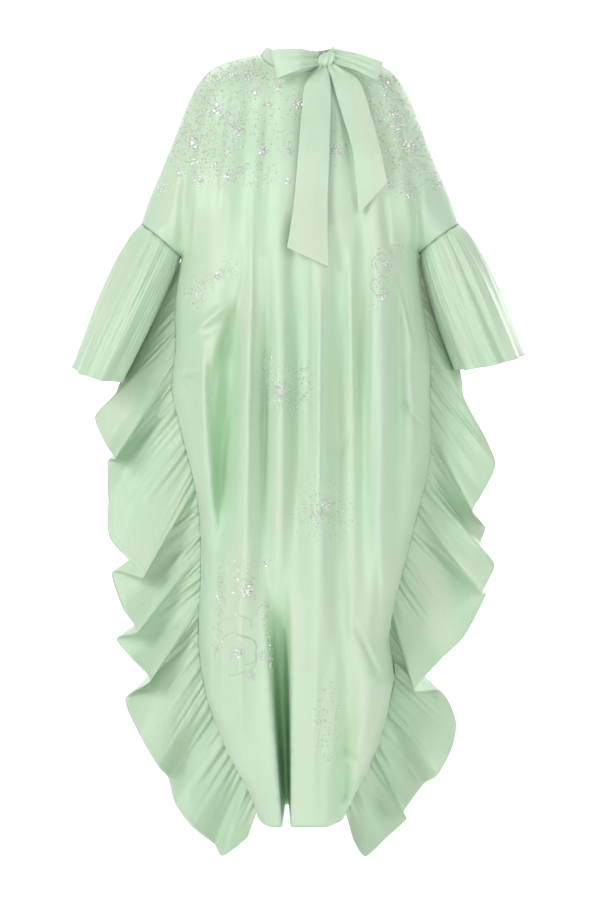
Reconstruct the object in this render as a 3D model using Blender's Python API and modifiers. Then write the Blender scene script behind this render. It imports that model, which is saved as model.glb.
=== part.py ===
"""A full-length kaftan, worn shape, hollow: kimono front and back, stand collar with a
tied bow, a gathered flounce on each sleeve and a gathered ruffle down each side seam.
The origin is the middle of the neck, +Z is up and the front faces -Y."""

from collections import namedtuple
from math import cos, exp, pi, sin, sqrt

import bmesh
import bpy
from mathutils import Vector
from mathutils.bvhtree import BVHTree

# Driving sizes
CLOTH = 0.0015            # thickness of the cloth walls
RUFFLE_CLOTH = 0.0010     # the side ruffles are a single lighter layer
SEAM = 0.0003             # gap that sewn pieces keep
HEM_HEIGHT = -1.447       # front and back hem
SLEEVE_ROWS = 4           # panel rows along a sleeve end
SIDE_ROWS = 22            # panel rows down a side seam
FRONT_COLUMNS = 34
BACK_COLUMNS = 20
GATHERS_PER_ROW = 2       # ruffle gathers in each panel row
STEPS_PER_GATHER = 3
RUFFLE_DEPTH_STEPS = 4
GATHER_DEPTH = 0.0032     # half the height of a small gather at its seam

# Neck: half width, and how far the edge dips below the shoulder point in front and behind
NECK_HALF = 0.080
NECK_HEIGHT = 0.004
NECK_DIP = {"front": 0.050, "back": 0.012}

Point = namedtuple("Point", "x z")

# Shoulder and sleeve top, from the neck to the sleeve end, for the right hand side
SLEEVE_TOP = [
    Point(0.080, 0.004),
    Point(0.140, -0.011),
    Point(0.178, -0.032),
    Point(0.206, -0.070),
    Point(0.230, -0.128),
    Point(0.265, -0.216),
    Point(0.290, -0.276),
    Point(0.305, -0.321),
]

# Side seams from the underarm to the hem: distance out from the middle at each height
SIDE_SEAM = {
    "left": [
        Point(-0.2275, -0.386), Point(-0.240, -0.470), Point(-0.238, -0.560), Point(-0.246, -0.640),
        Point(-0.228, -0.720), Point(-0.195, -0.860), Point(-0.190, -1.000), Point(-0.195, -1.120),
        Point(-0.178, -1.230), Point(-0.137, -1.335), Point(-0.100, -1.400), Point(-0.083, HEM_HEIGHT),
    ],
    "right": [
        Point(0.2285, -0.378), Point(0.233, -0.460), Point(0.250, -0.560), Point(0.249, -0.650),
        Point(0.250, -0.770), Point(0.226, -0.876), Point(0.193, -1.004), Point(0.171, -1.110),
        Point(0.181, -1.190), Point(0.150, -1.320), Point(0.108, -1.405), Point(0.087, HEM_HEIGHT),
    ],
}

# The hollow body: how far front and back stand from the seams, and how wide the edges round over
Section = namedtuple("Section", "height front back round")
BODY = [
    Section(0.02, 0.074, 0.062, 0.120),
    Section(-0.10, 0.096, 0.086, 0.135),
    Section(-0.25, 0.122, 0.100, 0.150),
    Section(-0.45, 0.130, 0.106, 0.150),
    Section(-0.75, 0.138, 0.114, 0.130),
    Section(-1.10, 0.146, 0.124, 0.095),
    Section(-1.30, 0.152, 0.132, 0.060),
    Section(-1.46, 0.156, 0.138, 0.036),
]

# Folds: a trough goes in by its depth, a ridge has a negative depth.
# A fold that ends above the hem fades out there, and any other grows down to the hem.
Fold = namedtuple("Fold", "top_x top_z foot_x foot_z top_half foot_half depth")
# The deep fold that parts the front near the hem
FRONT_SLIT = Fold(-0.045, -0.940, -0.019, -1.600, 0.026, 0.0006, 0.210)
FOLDS = {
    "front": [
        Fold(-0.116, -0.400, -0.146, -0.960, 0.022, 0.026, 0.040),
        Fold(-0.098, -0.480, -0.104, -1.300, 0.022, 0.026, -0.018),
        Fold(-0.066, -0.400, -0.068, -1.080, 0.020, 0.024, 0.020),
        Fold(-0.036, -0.300, -0.038, -0.980, 0.020, 0.022, -0.012),
        Fold(-0.010, -0.310, -0.014, -1.060, 0.020, 0.022, 0.022),
        Fold(0.038, -0.300, 0.030, -1.300, 0.024, 0.028, -0.018),
        Fold(0.072, -0.340, 0.070, -1.150, 0.020, 0.022, 0.024),
        Fold(0.118, -0.260, 0.120, -1.080, 0.020, 0.024, 0.026),
        Fold(0.145, -0.320, 0.142, -1.100, 0.020, 0.020, -0.012),
        Fold(0.190, -0.420, 0.180, -0.960, 0.020, 0.022, 0.022),
        Fold(-0.185, -0.440, -0.176, -0.900, 0.020, 0.020, -0.010),
        FRONT_SLIT,
        Fold(0.100, -1.000, 0.070, -1.600, 0.026, 0.022, 0.044),
        Fold(-0.212, -0.210, -0.226, -0.400, 0.016, 0.014, 0.016),
        Fold(0.212, -0.210, 0.224, -0.400, 0.016, 0.014, 0.018),
        Fold(-0.090, -0.040, -0.118, -0.420, 0.018, 0.026, 0.012),
        Fold(-0.050, -0.070, -0.066, -0.400, 0.016, 0.022, 0.010),
        Fold(0.020, -0.100, 0.014, -0.400, 0.018, 0.022, 0.010),
        Fold(0.086, -0.040, 0.105, -0.380, 0.018, 0.026, 0.012),
        Fold(-0.150, -0.070, -0.186, -0.360, 0.020, 0.026, 0.011),
        Fold(0.150, -0.070, 0.182, -0.360, 0.020, 0.026, 0.011),
    ],
    "back": [
        Fold(-0.120, -0.180, -0.125, -1.150, 0.026, 0.036, 0.024),
        Fold(-0.045, -0.120, -0.040, -1.250, 0.024, 0.034, 0.020),
        Fold(0.040, -0.160, 0.045, -1.180, 0.024, 0.034, 0.024),
        Fold(0.122, -0.150, 0.118, -1.100, 0.026, 0.036, 0.022),
        Fold(-0.185, -0.300, -0.165, -0.980, 0.022, 0.026, 0.016),
        Fold(0.185, -0.320, 0.172, -0.960, 0.022, 0.026, 0.018),
        Fold(-0.036, -0.980, -0.034, -1.600, 0.030, 0.020, 0.050),
        Fold(0.042, -1.050, 0.038, -1.600, 0.030, 0.020, 0.045),
    ],
}

# Sleeve flounces: hem ends in the front view, hem half depth, and how far its front hangs lower
Bell = namedtuple("Bell", "outer_x outer_z inner_x inner_z half_depth front_drop "
                          "outer_puff inner_puff waves")
BELL = {
    "left": Bell(-0.431, -0.597, -0.340, -0.622, 0.105, 0.014, 0.014, 0.005, 7),
    "right": Bell(0.4255, -0.574, 0.303, -0.602, 0.110, 0.010, 0.015, 0.008, 8),
}
BELL_GATHERS = 18
BELL_STEPS_PER_GATHER = 4
BELL_ROWS = 3
BELL_WAVE_DEPTH = 0.006

# Side ruffles, a row for each crest and hollow of the free edge:
# height of its root on the side seam, place of the free edge, and how far that comes forward
Wave = namedtuple("Wave", "root_z edge_x edge_z forward")
RUFFLE = {
    "left": [
        Wave(-0.440, -0.241, -0.447, 0.000),
        Wave(-0.460, -0.255, -0.475, 0.000),
        Wave(-0.475, -0.270, -0.506, 0.000),
        Wave(-0.490, -0.288, -0.545, 0.000),
        Wave(-0.505, -0.305, -0.581, 0.000),
        Wave(-0.519, -0.323, -0.613, 0.000),
        Wave(-0.530, -0.352, -0.650, 0.008),
        Wave(-0.542, -0.392, -0.692, 0.015),
        Wave(-0.560, -0.370, -0.745, 0.030),
        Wave(-0.600, -0.350, -0.772, 0.055),
        Wave(-0.645, -0.372, -0.778, -0.030),
        Wave(-0.690, -0.368, -0.850, 0.000),
        Wave(-0.740, -0.362, -0.925, 0.025),
        Wave(-0.822, -0.295, -0.995, 0.060),
        Wave(-0.868, -0.364, -0.992, -0.035),
        Wave(-0.908, -0.342, -1.060, -0.012),
        Wave(-0.948, -0.308, -1.100, 0.042),
        Wave(-0.998, -0.355, -1.120, -0.026),
        Wave(-1.028, -0.326, -1.156, -0.010),
        Wave(-1.058, -0.284, -1.192, 0.050),
        Wave(-1.102, -0.338, -1.238, -0.030),
        Wave(-1.150, -0.305, -1.300, 0.025),
        Wave(-1.215, -0.270, -1.355, 0.040),
        Wave(-1.255, -0.254, -1.390, -0.020),
        Wave(-1.310, -0.238, -1.432, 0.015),
        Wave(-1.350, -0.205, -1.470, 0.040),
        Wave(-1.385, -0.165, -1.512, 0.000),
        Wave(-1.420, -0.146, -1.528, 0.030),
        Wave(HEM_HEIGHT, -0.100, -1.497, 0.010),
    ],
    "right": [
        Wave(-0.458, 0.240, -0.467, 0.000),
        Wave(-0.475, 0.251, -0.498, 0.000),
        Wave(-0.492, 0.263, -0.535, 0.000),
        Wave(-0.508, 0.276, -0.574, 0.000),
        Wave(-0.523, 0.288, -0.608, 0.000),
        Wave(-0.538, 0.311, -0.653, 0.003),
        Wave(-0.552, 0.334, -0.694, 0.006),
        Wave(-0.568, 0.356, -0.735, 0.010),
        Wave(-0.625, 0.372, -0.785, 0.030),
        Wave(-0.690, 0.346, -0.838, 0.045),
        Wave(-0.716, 0.326, -0.872, 0.058),
        Wave(-0.756, 0.359, -0.906, -0.032),
        Wave(-0.792, 0.348, -0.938, -0.010),
        Wave(-0.830, 0.370, -0.975, 0.030),
        Wave(-0.875, 0.344, -1.026, 0.052),
        Wave(-0.900, 0.359, -1.037, -0.025),
        Wave(-0.960, 0.314, -1.113, 0.010),
        Wave(-1.030, 0.268, -1.155, 0.030),
        Wave(-1.074, 0.216, -1.210, 0.060),
        Wave(-1.122, 0.274, -1.224, -0.030),
        Wave(-1.165, 0.301, -1.278, -0.030),
        Wave(-1.215, 0.292, -1.320, 0.015),
        Wave(-1.265, 0.262, -1.370, 0.045),
        Wave(-1.300, 0.238, -1.402, -0.020),
        Wave(-1.335, 0.198, -1.440, 0.040),
        Wave(-1.365, 0.205, -1.470, -0.025),
        Wave(-1.400, 0.165, -1.498, 0.010),
        Wave(-1.430, 0.124, -1.528, 0.035),
        Wave(HEM_HEIGHT, 0.102, -1.500, 0.010),
    ],
}

# Collar: how far the top leans in, and its height in front and behind
COLLAR_LEAN = 0.83
COLLAR_TOP = {"front": -0.016, "back": 0.020}
COLLAR_ROWS = 2

# Tie: knot centre and size, and the loops' outer ends
KNOT_X, KNOT_Z = 0.0505, -0.026
KNOT_SIZE = (0.040, 0.024, 0.045)
TIE_CLEARANCE = 0.003
Loop = namedtuple("Loop", "end_x root_top root_foot end_top end_foot belly")
LOOP = {
    "left": Loop(-0.057, -0.010, -0.044, -0.003, -0.061, 0.015),
    "right": Loop(0.157, -0.008, -0.042, -0.031, -0.063, 0.014),
}

# Tails: left and right edge of the strip, a row for each height
Strip = namedtuple("Strip", "left_x left_z right_x right_z")
TAIL = {
    "left": [
        Strip(0.032, -0.0488, 0.050, -0.0488),
        Strip(0.009, -0.076, 0.0575, -0.080),
        Strip(0.003, -0.125, 0.0575, -0.133),
        Strip(-0.011, -0.294, 0.052, -0.300),
        Strip(-0.024, -0.384, 0.0535, -0.420),
    ],
    "right": [
        Strip(0.052, -0.0488, 0.069, -0.0488),
        Strip(0.063, -0.080, 0.110, -0.066),
        Strip(0.080, -0.137, 0.134, -0.133),
        Strip(0.097, -0.203, 0.150, -0.1995),
        Strip(0.109, -0.319, 0.163, -0.260),
    ],
}
TAIL_COLUMNS = 4
TAIL_ROWS = 14
LEFT_TAIL_LIFT = 0.006    # the left tail passes in front

# Colours, in linear light
MINT = (0.560, 0.745, 0.585, 1.0)
MINT_TIE = (0.600, 0.760, 0.610, 1.0)


def smooth(value):
    """Ease from 0 to 1."""
    value = min(1.0, max(0.0, value))
    return value * value * (3.0 - 2.0 * value)


def through(rows, place, pull=0.5):
    """Read a table between its rows on a smooth curve; place runs from 0 to the last row."""
    first = min(int(place), len(rows) - 2)
    h = place - first
    before = rows[max(first - 1, 0)]
    start, end = rows[first], rows[first + 1]
    after = rows[min(first + 2, len(rows) - 1)]
    values = []
    for a, b, c, d in zip(before, start, end, after):
        value = b + (c - b) * smooth(h)
        value += pull * ((c - a) * h * (1.0 - h) ** 2 - (d - b) * h * h * (1.0 - h))
        values.append(value)
    return type(start)(*values)


def along(points, share):
    """The point at a share of the length of a polyline."""
    lengths = [(b - a).length for a, b in zip(points, points[1:])]
    left = share * sum(lengths)
    for start, end, length in zip(points, points[1:], lengths):
        if left <= length:
            return start.lerp(end, left / length)
        left -= length
    return points[-1].copy()


def fine(rows, steps=8):
    """A smooth curve through a table of x and z, as flat vectors."""
    count = (len(rows) - 1) * steps
    curve = [through(rows, k / steps) for k in range(count + 1)]
    return [Vector((p.x, p.z)) for p in curve]


def read_table(rows, height):
    """A row of the body table at a height, eased between its neighbours."""
    for upper, lower in zip(rows, rows[1:]):
        if height >= lower.height:
            break
    share = smooth((upper.height - height) / (upper.height - lower.height))
    return type(upper)(*[a + (b - a) * share for a, b in zip(upper, lower)])


# The outline of a panel in the front view
sleeve_right = fine(SLEEVE_TOP)
sleeve_left = [Vector((-p.x, p.y)) for p in sleeve_right]
side = {name: fine(rows) for name, rows in SIDE_SEAM.items()}
# The sleeve end runs straight from the sleeve top to the underarm
sleeve_end = {
    "left": (sleeve_left[-1], side["left"][0]),
    "right": (sleeve_right[-1], side["right"][0]),
}
rounded_edges = [sleeve_left[::4], sleeve_right[::4], side["left"][::4], side["right"][::4]]


def edge_distance(x, z, edge):
    """Distance in the front view from a point to a polyline."""
    here = Vector((x, z))
    best = 9.0
    for a, b in zip(edge, edge[1:]):
        run = b - a
        share = min(1.0, max(0.0, (here - a).dot(run) / run.length_squared))
        best = min(best, (here - a - run * share).length)
    return best


def fold_depth(name, x, z):
    """How far the folds take a panel inwards at a point."""
    depth = 0.0
    for fold in FOLDS[name]:
        run = (fold.top_z - z) / (fold.top_z - fold.foot_z)
        if run <= 0.0 or run >= 1.0:
            continue
        strength = sin(pi * run) ** 0.7 if fold.foot_z > HEM_HEIGHT else smooth(run * 1.33)
        line = fold.top_x + (fold.foot_x - fold.top_x) * run
        half = fold.top_half + (fold.foot_half - fold.top_half) * run
        power = 4 if fold is FRONT_SLIT else 2
        depth += fold.depth * strength * exp(-((x - line) / half) ** power * 1.6)
    return depth


def panel_y(name, x, z):
    """Where the outer face of a panel stands, measured from the seam plane (always positive)."""
    body = read_table(BODY, z)
    near = sum(max(edge_distance(x, z, edge), 1e-6) ** -5 for edge in rounded_edges) ** -0.2
    share = min(1.0, near / body.round)
    full = body.front if name == "front" else body.back
    full *= 1.0 - 0.38 * smooth((abs(x) - 0.16) / 0.12)
    fade = smooth(near / 0.035)
    return full * sqrt(1.0 - (1.0 - share) ** 2) - fade * fold_depth(name, x, z)


def seam_point(side_name, row):
    """Outline of a panel's side edge: the sleeve end, then the side seam."""
    if row <= SLEEVE_ROWS:
        top, foot = sleeve_end[side_name]
        return top.lerp(foot, row / SLEEVE_ROWS)
    return along(side[side_name], (row - SLEEVE_ROWS) / SIDE_ROWS)


def neck_edge(name, share):
    """The neck edge from the left shoulder point (0) to the right one (1)."""
    angle = pi * (1.0 - share)
    dip = NECK_DIP[name] * sin(angle) ** 1.2
    return Vector((NECK_HALF * cos(angle), NECK_HEIGHT - dip))


def top_points(name, columns):
    """The top edge from sleeve end to sleeve end, and how many columns each sleeve takes."""
    neck = 2 * round(columns / 7)
    arm = (columns - neck) // 2
    left = [along(sleeve_left, 1.0 - k / arm) for k in range(arm)]
    middle = [neck_edge(name, k / neck) for k in range(neck + 1)]
    right = [along(sleeve_right, k / arm) for k in range(1, arm + 1)]
    return left + middle + right, arm, neck


def middle_line(name, top_x, height):
    """Where the middle column runs: down the front's deep fold, or down the middle of the back."""
    if name == "back":
        return top_x
    fold = FRONT_SLIT
    if height > fold.top_z:
        return top_x + (fold.top_x - top_x) * smooth(height / fold.top_z)
    return fold.top_x + (fold.foot_x - fold.top_x) * (height - fold.top_z) / (fold.foot_z - fold.top_z)


def panel_grid(name, columns):
    """All outer points of a panel, row by row from the top edge to the hem."""
    facing = -1.0 if name == "front" else 1.0
    rows = SLEEVE_ROWS + SIDE_ROWS
    top, arm, neck = top_points(name, columns)
    split = arm + neck // 2 - (neck // 5 if name == "front" else 0)
    lengths = [(b - a).length for a, b in zip(top, top[1:])]
    even = sum(lengths) / columns
    shares = [0.0]
    for length in lengths:
        shares.append(shares[-1] + (length + even) / 2 / sum(lengths))
    left_shares = [share / shares[split] for share in shares[:split]]
    right_shares = [(share - shares[split]) / (1.0 - shares[split]) for share in shares[split:]]
    ends = {which: (seam_point(which, 0), seam_point(which, rows)) for which in side}

    grid = []
    for row in range(rows + 1):
        v = row / rows
        if row == 0:
            line = [Vector((p.x, facing * panel_y(name, p.x, p.y), p.y)) for p in top]
        else:
            shift = {which: seam_point(which, row) - start.lerp(end, v)
                     for which, (start, end) in ends.items()}
            samples = []
            for k in range(8 * columns + 1):
                u = k / (8 * columns)
                p = along(top, u) * (1.0 - v) + ends["left"][1].lerp(ends["right"][1], u) * v
                p += shift["left"] * (1.0 - u) ** 2 + shift["right"] * u ** 2
                samples.append(Vector((p.x, facing * panel_y(name, p.x, p.y), p.y)))
            middle_x = top[split].x
            centre = [k for k, p in enumerate(samples) if p.x < middle_line(name, middle_x, p.z)][-1]
            line = [along(samples[:centre + 1], share) for share in left_shares]
            line += [along(samples[centre:], share) for share in right_shares]
        sewn = [*range(arm + 1), *range(arm + neck, columns + 1)] if row == 0 else [0, columns]
        if row == 0 or row >= SLEEVE_ROWS:
            for k in sewn:
                line[k].y = 0.0
        grid.append(line)
    return grid, arm, neck


def new_piece(name, mesh, colour):
    """An object in the kaftan's collection with its own cloth material."""
    piece = bpy.data.objects.new(name, mesh)
    kaftan.objects.link(piece)
    material = bpy.data.materials.new(name + "_cloth")
    material.use_nodes = True
    shader = material.node_tree.nodes["Principled BSDF"]
    shader.inputs["Base Color"].default_value = colour
    shader.inputs["Roughness"].default_value = 0.42
    shader.inputs["Metallic"].default_value = 0.0
    mesh.materials.append(material)
    for face in mesh.polygons:
        face.use_smooth = True
    return piece


def sheet_mesh(name, grid, closed=False):
    """A grid of points as an open surface; a closed one joins its last column to its first."""
    rows, columns = len(grid) - 1, len(grid[0]) - 1
    shell = bmesh.new()
    bmesh.ops.create_grid(shell, x_segments=columns, y_segments=rows, size=1.0)
    shell.verts.ensure_lookup_table()
    for k, vert in enumerate(shell.verts):
        vert.co = grid[k // (columns + 1)][k % (columns + 1)]
    if closed:
        bmesh.ops.remove_doubles(shell, verts=shell.verts, dist=1e-6)
    # Both sides of the wall then share their diagonals
    bmesh.ops.triangulate(shell, faces=shell.faces)
    mesh = bpy.data.meshes.new(name)
    shell.to_mesh(mesh)
    shell.free()
    return mesh


def cloth_piece(name, grid, outward, colour=MINT, closed=False, cloth=CLOTH):
    """Give a sheet of points its cloth thickness on the side away from outward."""
    mesh = sheet_mesh(name, grid, closed)
    middle = mesh.polygons[len(mesh.polygons) // 2]
    if middle.normal.dot(outward(middle.center)) < 0.0:
        mesh.flip_normals()
    piece = new_piece(name, mesh, colour)
    wall = piece.modifiers.new("cloth", "SOLIDIFY")
    wall.thickness = cloth
    wall.offset = -1.0
    return piece


def settle(piece):
    """Turn a piece's modifiers into plain mesh, so that its edges can be pressed flat."""
    evaluated = piece.evaluated_get(bpy.context.evaluated_depsgraph_get())
    mesh = bpy.data.meshes.new_from_object(evaluated)
    piece.modifiers.clear()
    piece.data = mesh
    return mesh


def press(mesh, indices, point, normal, gap=SEAM / 2):
    """Press edge points flat on a seam plane, on the side that normal points to."""
    for index in indices:
        vert = mesh.vertices[index]
        short = gap - (vert.co - point).dot(normal)
        if short > 0.0:
            vert.co += normal * short


def make_panel(name, columns):
    """The front or the back, with its seam edges pressed flat on the seam planes."""
    grid, arm, neck = panel_grid(name, columns)
    facing = Vector((0.0, -1.0 if name == "front" else 1.0, 0.0))
    piece = cloth_piece(name, grid, lambda spot: facing)
    mesh = settle(piece)
    across = columns + 1
    count = len(grid) * across
    top_edge = [*range(arm + 1), *range(arm + neck, across)]
    side_edge = [row * across + k for row in range(SLEEVE_ROWS, len(grid)) for k in (0, columns)]
    sewn = top_edge + side_edge
    press(mesh, sewn + [k + count for k in sewn], Vector(), facing)
    for side_name, column in (("left", 0), ("right", columns)):
        point, normal = sleeve_plane(side_name)
        cuff = [row * across + column for row in range(SLEEVE_ROWS + 1)]
        press(mesh, cuff + [k + count for k in cuff], point, normal)
    mesh.update()
    return piece, grid


def sleeve_plane(side_name):
    """The plane of a sleeve end: a point on it and the direction back up the sleeve."""
    top, foot = sleeve_end[side_name]
    across = (foot - top).normalized()
    up = Vector((-across.y, across.x))
    if up.y < 0.0:
        up = -up
    return Vector((top.x, 0.0, top.y)), Vector((up.x, 0.0, up.y))


def sleeve_ring(side_name):
    """Outer points round a sleeve end: down the front edge and up the back edge."""
    column = 0 if side_name == "left" else -1
    front = [row[column] for row in front_grid[:SLEEVE_ROWS + 1]]
    back = [row[column] for row in back_grid[:SLEEVE_ROWS + 1]]
    return front + back[-2::-1]


def make_flounce(side_name):
    """A gathered bell that carries the sleeve on from its end."""
    bell = BELL[side_name]
    plane_point, plane_up = sleeve_plane(side_name)
    ring = sleeve_ring(side_name)
    steps = BELL_GATHERS * BELL_STEPS_PER_GATHER
    root_middle = (ring[0] + ring[SLEEVE_ROWS]) / 2
    outer = Vector((bell.outer_x, 0.0, bell.outer_z))
    inner = Vector((bell.inner_x, 0.0, bell.inner_z))
    hem_middle = (outer + inner) / 2
    half = (outer - inner) / 2
    grid = []
    for row in range(BELL_ROWS + 1):
        share = row / BELL_ROWS
        line = []
        for k in range(steps + 1):
            turn = k % steps / steps
            root = along(ring, turn) - plane_up * (SEAM + 0.0002)
            angle = 2 * pi * turn
            hem = hem_middle + half * cos(angle)
            hem.y = -bell.half_depth * sin(angle)
            hem.z -= bell.front_drop * max(0.0, sin(angle))
            middle = root_middle.lerp(hem_middle, share)
            spot = root.lerp(hem, share ** 0.85)
            outward = (spot - middle).normalized()
            outer_side = max(0.0, cos(angle))
            gather = sin(2 * pi * BELL_GATHERS * turn) * GATHER_DEPTH * (1.0 - share) ** 0.8
            wave = sin(angle * bell.waves + 0.8) * BELL_WAVE_DEPTH * share
            puff = bell.inner_puff + (bell.outer_puff - bell.inner_puff) * outer_side
            puff *= sin(pi * share ** 0.6)
            inset = GATHER_DEPTH * (1.0 - share)
            line.append(spot + outward * (gather + wave + puff - inset * 0.3))
        grid.append(line)
    inside = root_middle.lerp(hem_middle, 0.5)
    return cloth_piece(side_name + "_flounce", grid, lambda spot: spot - inside, closed=True)


def side_run(side_name):
    """Points down a side seam: every panel row, with the ruffle's steps between them."""
    column = 0 if side_name == "left" else -1
    rows = front_grid[SLEEVE_ROWS:]
    steps = GATHERS_PER_ROW * STEPS_PER_GATHER
    run = []
    for upper, lower in zip(rows, rows[1:]):
        run += [upper[column].lerp(lower[column], k / steps) for k in range(steps)]
    run.append(rows[-1][column].copy())
    return run


def wave_at(side_name, height):
    """The ruffle table read at the height of a root on the seam."""
    rows = RUFFLE[side_name]
    for index, (upper, lower) in enumerate(zip(rows, rows[1:])):
        if height >= lower.root_z:
            break
    share = min(1.0, max(0.0, (upper.root_z - height) / (upper.root_z - lower.root_z)))
    return through(rows, index + share, 0.40)


def make_ruffle(side_name):
    """A frill sewn into a side seam, gathered at its root and waving at its free edge."""
    outward = -1.0 if side_name == "left" else 1.0
    run = [spot for spot in side_run(side_name) if spot.z <= RUFFLE[side_name][0].root_z]
    grid = [[] for _ in range(RUFFLE_DEPTH_STEPS + 1)]
    seams = []
    for k, root in enumerate(run):
        previous, following = run[max(k - 1, 0)], run[min(k + 1, len(run) - 1)]
        tangent = (following - previous).normalized()
        away = Vector((-tangent.z, 0.0, tangent.x))
        if away.x * outward < 0.0:
            away = -away
        wave = wave_at(side_name, root.z)
        edge = Vector((wave.edge_x, -wave.forward, wave.edge_z))
        start = root + away * (2 * SEAM)
        start.y = 0.0
        open_angle = min(1.0, 1.3 * abs((edge - start).normalized().dot(away))) ** 2 * smooth(k / 9)
        seams.append((start, away))
        for step in range(RUFFLE_DEPTH_STEPS + 1):
            share = step / RUFFLE_DEPTH_STEPS
            spot = start.lerp(edge, share)
            spot.y = edge.y * share ** 1.2
            uneven = 0.9 + 0.25 * sin(k * 0.61) + 0.2 * sin(k * 0.23 + 1.0)
            gather = sin(2 * pi * (k + 0.5) / STEPS_PER_GATHER) * GATHER_DEPTH * uneven * open_angle
            spot.y += gather * max(0.0, 1.0 - share * 1.5) + RUFFLE_CLOTH / 2
            grid[step].append(spot)
    back_face = Vector((0.0, 1.0, 0.0))
    piece = cloth_piece(side_name + "_ruffle", grid, lambda spot: back_face, cloth=RUFFLE_CLOTH)
    mesh = settle(piece)
    count = len(grid) * len(run)
    for k, (start, away) in enumerate(seams):
        press(mesh, (k, k + count), start, away, 0.0)
    mesh.update()
    return piece


def neck_points():
    """Outer points round the neck edge of both panels, with the way each edge faces."""
    ring = []
    panels = ((front_grid, front_arm, front_neck, 1), (back_grid, back_arm, back_neck, -1))
    for grid, arm, neck, step in panels:
        columns = list(range(arm, arm + neck + 1))[::step]
        for column in columns[:-1]:
            edge, below = grid[0][column], grid[1][column]
            ring.append((edge, (edge - below).normalized()))
    return ring


def make_collar():
    """A stand band on the neck edge, leaning in towards its top."""
    ring = neck_points()
    middle = sum((edge for edge, _ in ring), Vector()) / len(ring)
    grid = []
    for row in range(COLLAR_ROWS + 1):
        share = row / COLLAR_ROWS
        line = []
        for edge, facing in ring + ring[:1]:
            base = edge + facing * (SEAM + 0.0004)
            frontness = smooth((middle.y - edge.y) / 0.06)
            top = middle + (base - middle) * COLLAR_LEAN
            top.z = COLLAR_TOP["back"] + (COLLAR_TOP["front"] - COLLAR_TOP["back"]) * frontness
            line.append(base.lerp(top, share))
        grid.append(line)
    return cloth_piece("collar", grid, lambda spot: spot - middle, MINT_TIE, closed=True)


def surface_y(tree, x, z):
    """Where the front of a piece lies at a place in the front view."""
    hit = tree.ray_cast(Vector((x, -1.0, z)), Vector((0.0, 1.0, 0.0)))[0]
    return hit.y if hit else 0.0


def make_knot():
    """The wrapped knot of the tie, a soft block just in front of the collar."""
    bpy.ops.mesh.primitive_cube_add(size=1.0)
    cube = bpy.context.object
    mesh = cube.data
    bpy.data.objects.remove(cube)
    for vert in mesh.vertices:
        vert.co = Vector((vert.co[k] * KNOT_SIZE[k] for k in range(3)))
    piece = new_piece("knot", mesh, MINT_TIE)
    soft = piece.modifiers.new("soft edges", "BEVEL")
    soft.width = 0.008
    soft.segments = 3
    # It goes back until the first of its points is a seam's gap from what lies behind it
    gaps = []
    for vert in settle(piece).vertices:
        place = vert.co + Vector((KNOT_X, 0.0, KNOT_Z))
        for tree in (collar_tree, front_tree):
            gaps.append(surface_y(tree, place.x, place.z) - place.y)
    piece.location = (KNOT_X, min(gaps) - SEAM, KNOT_Z)
    return piece


def make_loop(side_name):
    """One loop of the bow: a strip that goes out from the knot, turns and comes back."""
    loop = LOOP[side_name]
    outward = -1.0 if side_name == "left" else 1.0
    root_x = KNOT_X + outward * (KNOT_SIZE[0] / 2 + SEAM)
    steps, rows = 14, 5
    reach = loop.end_x - root_x
    places = [(root_x + reach * a / 8, loop.root_top + (loop.end_foot - loop.root_top) * b / 6)
              for a in range(9) for b in range(7)]
    nearest = min(min(surface_y(collar_tree, x, z), surface_y(front_tree, x, z)) for x, z in places)
    clear_y = nearest - loop.belly - TIE_CLEARANCE
    grid = []
    for row in range(rows + 1):
        height = row / rows
        line = []
        for k in range(steps + 1):
            turn = pi * (k / steps - 0.5)
            out = max(0.0, cos(turn)) ** 0.55
            thick = loop.belly * (0.35 + 0.65 * sin(pi * (0.08 + 0.72 * out)))
            middle_y = tie_y + (clear_y - tie_y) * smooth(out * 2.2)
            top = loop.root_top + (loop.end_top - loop.root_top) * out
            foot = loop.root_foot + (loop.end_foot - loop.root_foot) * out
            pucker = 0.0012 * sin(5 * pi * height) * (1.0 - out)
            spot = Vector((root_x + reach * out, middle_y, top + (foot - top) * height))
            spot.y += (thick + pucker) * sin(turn)
            line.append(spot)
        grid.append(line)
    middle = Vector(((root_x + loop.end_x) / 2, (tie_y + clear_y) / 2, KNOT_Z))
    return cloth_piece(side_name + "_loop", grid, lambda spot: spot - middle, MINT_TIE)


def make_tail(side_name, lift):
    """One hanging end of the tie, lying on the front."""
    rows = TAIL[side_name]
    grid = []
    for k in range(TAIL_ROWS + 1):
        strip = through(rows, (len(rows) - 1) * k / TAIL_ROWS)
        left = Vector((strip.left_x, 0.0, strip.left_z))
        right = Vector((strip.right_x, 0.0, strip.right_z))
        line = [left.lerp(right, c / TAIL_COLUMNS) for c in range(TAIL_COLUMNS + 1)]
        samples = [left.lerp(right, c / 12) + Vector((0.0, 0.0, up))
                   for c in range(13) for up in (-0.02, 0.0, 0.02)]
        nearest = min(min(surface_y(front_tree, p.x, p.z), surface_y(collar_tree, p.x, p.z))
                      for p in samples)
        hang = smooth(k / 3)
        y = (nearest - TIE_CLEARANCE - lift) * hang + (tie_y - 0.003 + lift * 0.5) * (1.0 - hang)
        y = min(y, nearest - TIE_CLEARANCE)
        for c, point in enumerate(line):
            point.y = y - 0.0025 * sin(pi * c / TAIL_COLUMNS)
        grid.append(line)
    return cloth_piece(side_name + "_tail", grid, lambda spot: Vector((0.0, -1.0, 0.0)), MINT_TIE)


def tree_of(piece):
    """A search tree of a piece's finished mesh."""
    return BVHTree.FromObject(piece, bpy.context.evaluated_depsgraph_get())


for old in list(bpy.data.objects):
    bpy.data.objects.remove(old)
kaftan = bpy.data.collections.new("kaftan")
bpy.context.scene.collection.children.link(kaftan)

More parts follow.
